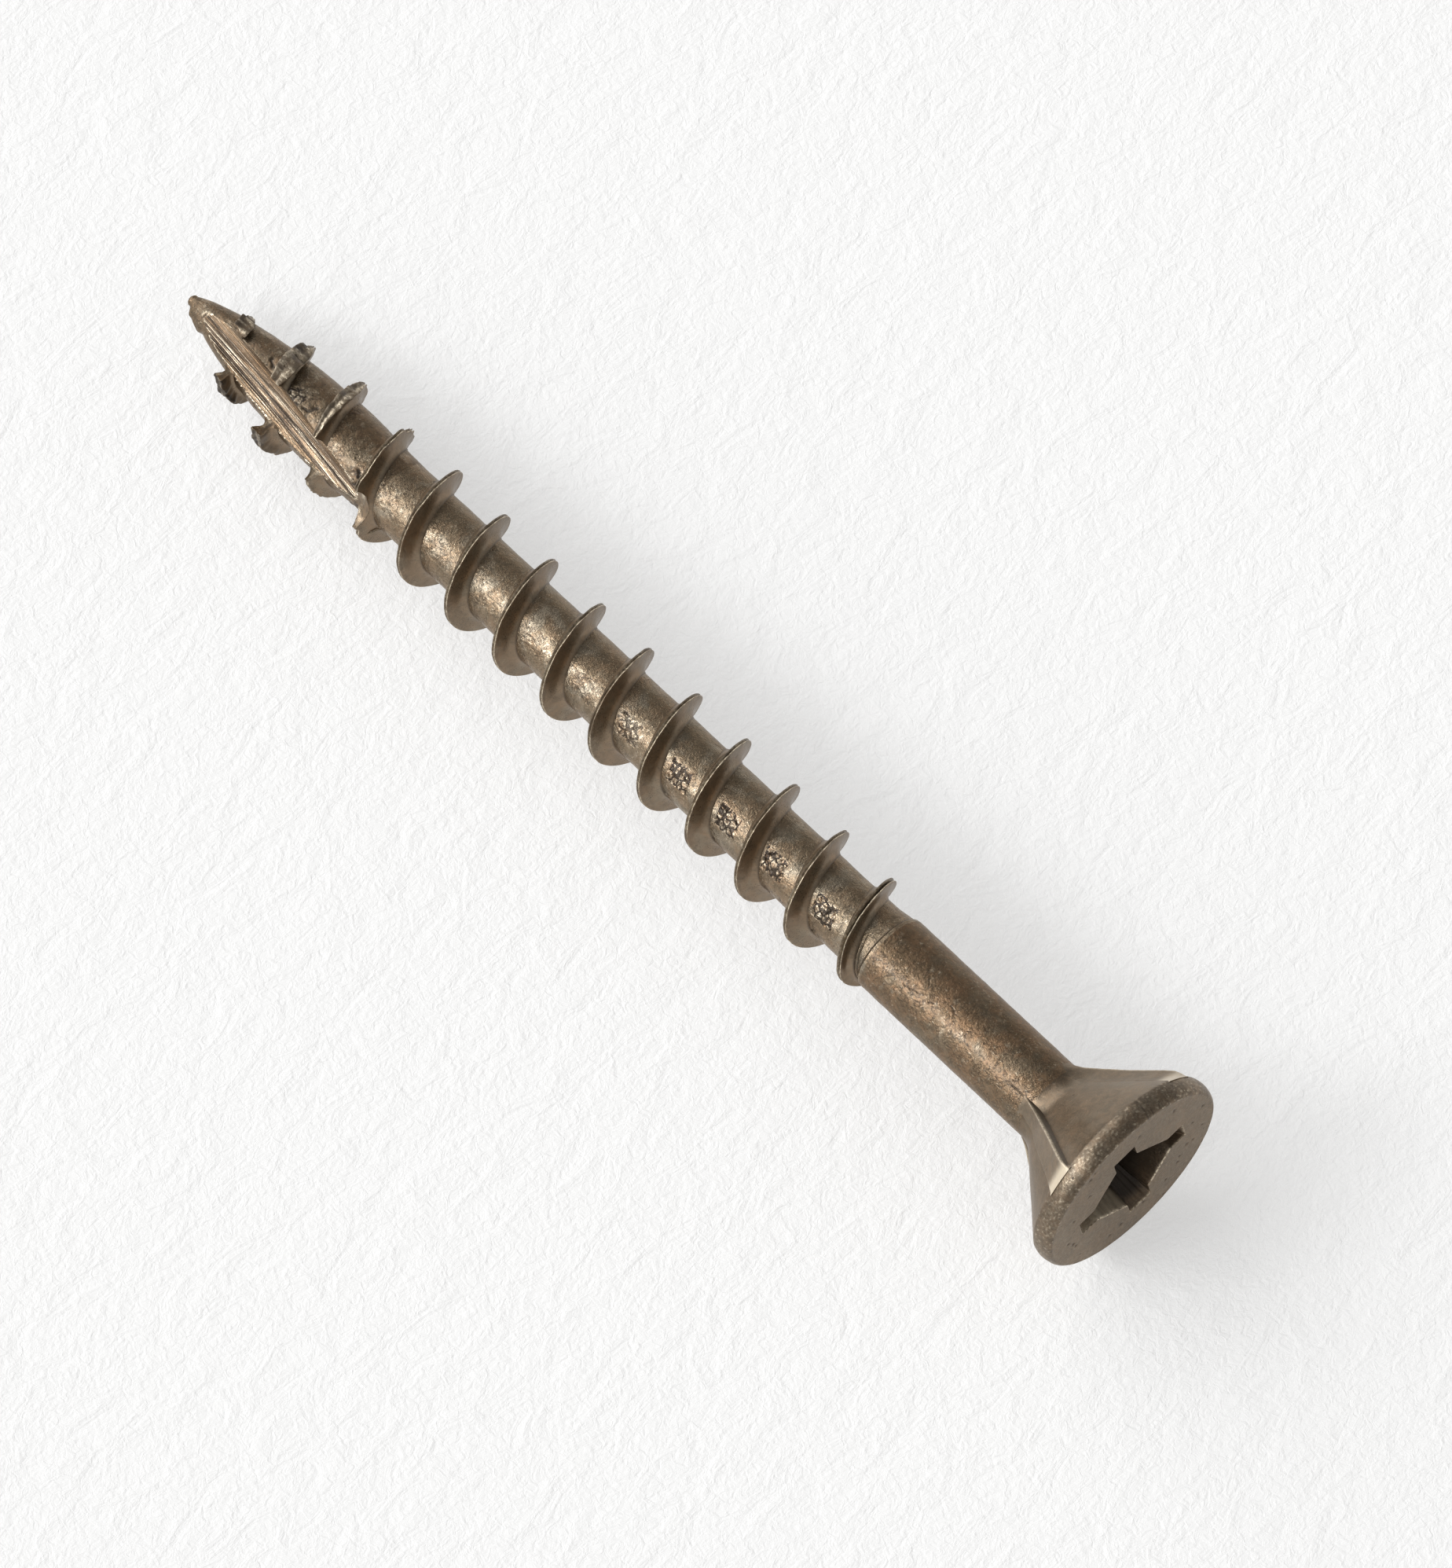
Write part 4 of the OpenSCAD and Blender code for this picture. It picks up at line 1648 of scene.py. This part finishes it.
        # Crest wear with a painted highlight: a bright dotted line, stronger along the crest's head-side edge.
        worn = (1.0 - way.ramp(0.045, 0.085)) * (0.3 + 0.7 * side.ramp(-0.5, 0.5)) * wave.ramp(0.30, 0.46)
        worn = worn * (0.45 + 0.95 * dots.ramp(0.42, 0.56))
        worn = worn * (1.0 - blunt) + blunt * 0.5 * (1.0 - way.ramp(0.12, 0.22)) * rag.ramp(0.48, 0.58)
        worn = worn.held()
        split = (0.15 + 0.85 * folded) * (1.0 - blunt) * (1.0 - way.ramp(0.0, 0.03)) * chips.ramp(0.38, 0.5)
        # Painted shade in the root, where the flank meets the core, and along the crest's tip-side edge.
        grime = split + (1.0 - (way - 0.75).math("ABSOLUTE").ramp(0.0, 0.045)) * 0.6
        grime = grime + 0.65 * (1.0 - way.ramp(0.05, 0.09)) * side.ramp(0.5, -0.5) * (0.4 + 0.6 * dots)
        grime = grime + 0.5 * lump * top + (0.6 * lump + 0.5 * blunt) * top * rag.ramp(0.55, 0.42)
        marked = self._store(g, given.outputs["Section"], "worn", worn)
        marked = self._store(g, marked, "smooth", way.ramp(0.09, 0.14) * 0.9)
        marked = self._store(g, marked, "grime", grime.held())
        moved = g.node("GeometryNodeSetPosition", inputs={"Geometry": marked, "Position": place})
        g.hand_over(moved.outputs[0], given.outputs["Finish"])
        return tree

    @staticmethod
    def _line(value: Signal, low: Signal, high: Signal) -> Signal:
        """Rises in a straight line from 0 at low to 1 at high, and stays between them."""
        return ((value - low) / (high - low)).held()

    @staticmethod
    def _store(g: Graph, geometry: bpy.types.NodeSocket, name: str, value: Signal) -> bpy.types.NodeSocket:
        """Stores a number at each point.

        Args:
            g: the graph.
            geometry: the geometry that carries it.
            name: the attribute's name.
            value: the number.

        Returns:
            The geometry with the attribute.
        """
        made = g.node("GeometryNodeStoreNamedAttribute", {"data_type": "FLOAT", "domain": "POINT"},
                      {"Geometry": geometry, "Name": name, "Value": value})
        return made.outputs[0]


@dataclass
class PointFlight(Flight):
    """The turns on the point, cut through by the slot."""

    nodes: tuple[str, ...] = ("point_thread",)
    slot: str = "point_coating"
    finish: Finish = Finish.THREAD
    path: Slot | None = None

    def build(self, coat: bpy.types.Material) -> bpy.types.Object:
        """Builds the flight and takes the slot out of it.

        Args:
            coat: the material.

        Returns:
            The piece.
        """
        piece = super().build(coat)
        tool = self.path.cutter(Noise(self.seed + 3))
        cut = piece.modifiers.new("slot", "BOOLEAN")
        cut.operation, cut.solver, cut.object = "DIFFERENCE", "EXACT", tool
        apply_modifiers(piece)
        bpy.data.objects.remove(tool)
        drop_crumbs(piece, CRUMB)
        finish_mesh(piece, 50.0)
        return piece


# ---------------------------------------------------------------- the studio


@dataclass
class Studio:
    """The paper that the screw lies on, the lights and the camera."""

    screw: Screw
    rest_at: float = 35.2
    paper_width: float = 700.0
    camera_place: tuple[float, float, float] = (94.27, -92.18, 285.93)
    camera_target: tuple[float, float, float] = (-17.716, 0.3675, 0.0)
    lens: float = 267.04
    room: float = 0.44
    dark_way: tuple[float, float, float] = (-0.2, 0.45, 0.87)

    @property
    def lean(self) -> float:
        """Angle between the axis and the paper, in radians: the rim and the thread both touch it."""
        return math.atan2(self.screw.head_r - self.screw.thread_r, self.rest_at - Head.rim_depth)

    @property
    def up(self) -> Vector:
        """Direction that is square to the paper."""
        return Vector((math.sin(self.lean), 0.0, math.cos(self.lean)))

    def build(self) -> None:
        """Makes the paper, the lights and the camera."""
        self._camera()
        self._paper()
        self._lights()

    def _paper(self) -> None:
        """Lays the sheet of paper under the rim and the thread."""
        foot = Vector((-Head.rim_depth, 0.0, -self.screw.head_r)) * MM
        frame_of_paper = Matrix.Translation(foot) @ self.up.to_track_quat("Z", "Y").to_matrix().to_4x4()
        half = self.paper_width / 2 * MM
        square = ((-1, -1), (1, -1), (1, 1), (-1, 1))
        corners = [frame_of_paper @ Vector((x * half, y * half, 0.0)) for x, y in square]
        mesh = bpy.data.meshes.new("paper")
        mesh.from_pydata(corners, [], [(0, 1, 2, 3)])
        mesh.materials.append(Paper().paint())
        sheet = bpy.data.objects.new("paper", mesh)
        bpy.context.scene.collection.objects.link(sheet)

    def _lights(self) -> None:
        """Hangs the soft boxes and sets the dim room."""
        middle = Vector((-18.0, 0.0, 0.0))
        self._box("key_box", middle, (-0.40, -0.75, 0.53), 3000.0, (4400.0, 2600.0), 0.95)
        self._box("window", middle, (-0.36, -0.72, 0.60), 3000.0, (1300.0, 800.0), 9.5)
        self._box("back_box", middle, (-0.90, -0.10, 0.60), 3000.0, (3600.0, 3000.0), 1.5)
        world = bpy.data.worlds.new("room")
        bpy.context.scene.world = world
        world.use_nodes = True
        g = Graph(world.node_tree)
        background = world.node_tree.nodes["Background"]
        background.inputs["Strength"].default_value = self.room
        facing = g.node("ShaderNodeVectorMath", {"operation": "DOT_PRODUCT"}, {
            0: g.node("ShaderNodeTexCoord").outputs["Generated"], 1: Vector(self.dark_way).normalized()})
        dim = g.signal(facing.outputs["Value"]).ramp(0.35, 0.95)
        shade = g.node("ShaderNodeMix", {"data_type": "RGBA"}, {
            "Factor": dim, 6: (1.0, 0.99, 0.97, 1.0), 7: (0.52, 0.51, 0.50, 1.0)})
        world.node_tree.links.new(shade.outputs[2], background.inputs["Color"])
        bpy.context.scene.view_settings.view_transform = "Standard"

    def _box(self, name: str, middle: Vector, way: tuple[float, float, float], distance: float,
             size: tuple[float, float], radiance: float) -> None:
        """Hangs one soft box.

        Args:
            name: the light's name.
            middle: what it points at.
            way: the direction from there to the light.
            distance: how far away it hangs.
            size: its width and height.
            radiance: how bright it looks, where white paper in full light is about 1.
        """
        data = bpy.data.lights.new(name, "AREA")
        data.shape, data.size, data.size_y = "RECTANGLE", size[0] * MM, size[1] * MM
        data.energy = radiance * math.pi * data.size * data.size_y
        light = bpy.data.objects.new(name, data)
        towards = Vector(way).normalized()
        light.location = (middle + towards * distance) * MM
        light.rotation_euler = towards.to_track_quat("Z", "Y").to_euler()
        bpy.context.scene.collection.objects.link(light)

    def _camera(self) -> None:
        """Stands the camera above the paper, level with it."""
        data = bpy.data.cameras.new("camera")
        data.sensor_fit, data.sensor_width, data.lens = "HORIZONTAL", 36.0, self.lens
        data.clip_start, data.clip_end = 0.01, 10.0
        place, target = Vector(self.camera_place), Vector(self.camera_target)
        back = (place - target).normalized()
        right = self.up.cross(back).normalized()
        turned = Matrix((right, back.cross(right), back)).transposed().to_4x4()
        camera = bpy.data.objects.new("camera", data)
        camera.matrix_world = Matrix.Translation(place * MM) @ turned
        bpy.context.scene.collection.objects.link(camera)
        bpy.context.scene.camera = camera


def main() -> None:
    """Builds the studio and every region of the screw."""
    logging.basicConfig(level=logging.INFO, format="%(name)s %(message)s")
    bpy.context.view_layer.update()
    screw = Screw.from_frame()
    Studio(screw).build()
    coats = {finish: finish.value.paint() for finish in Finish}

    head = Head(screw, seed=11)
    head.dress(head.build(), coats)
    nibs = Nibs(screw, seed=12, head=head)
    nib = nibs.build()
    Repeat.apply(nib, nibs.count, coats[nibs.finish])
    finish_mesh(nib, 50.0)
    nibs.dress(nib, coats)
    for region in (Shank(screw, seed=13), Collar(screw, seed=14), Core(screw, seed=15)):
        region.dress(region.build(), coats)
    path = Slot(screw)
    point = Point(screw, seed=16, path=path)
    point.dress(point.build(), coats)
    thread = Flight(screw, seed=17, from_depth=screw.shank_end + 0.1, to_depth=screw.point_start)
    thread.dress(thread.build(coats[thread.finish]), coats)
    tip = PointFlight(screw, seed=18, path=path, from_depth=screw.point_start, to_depth=screw.length - 1.1,
                      tear=0.13, blunt=1.0)
    tip.dress(tip.build(coats[tip.finish]), coats)


if __name__ == "__main__":
    main()
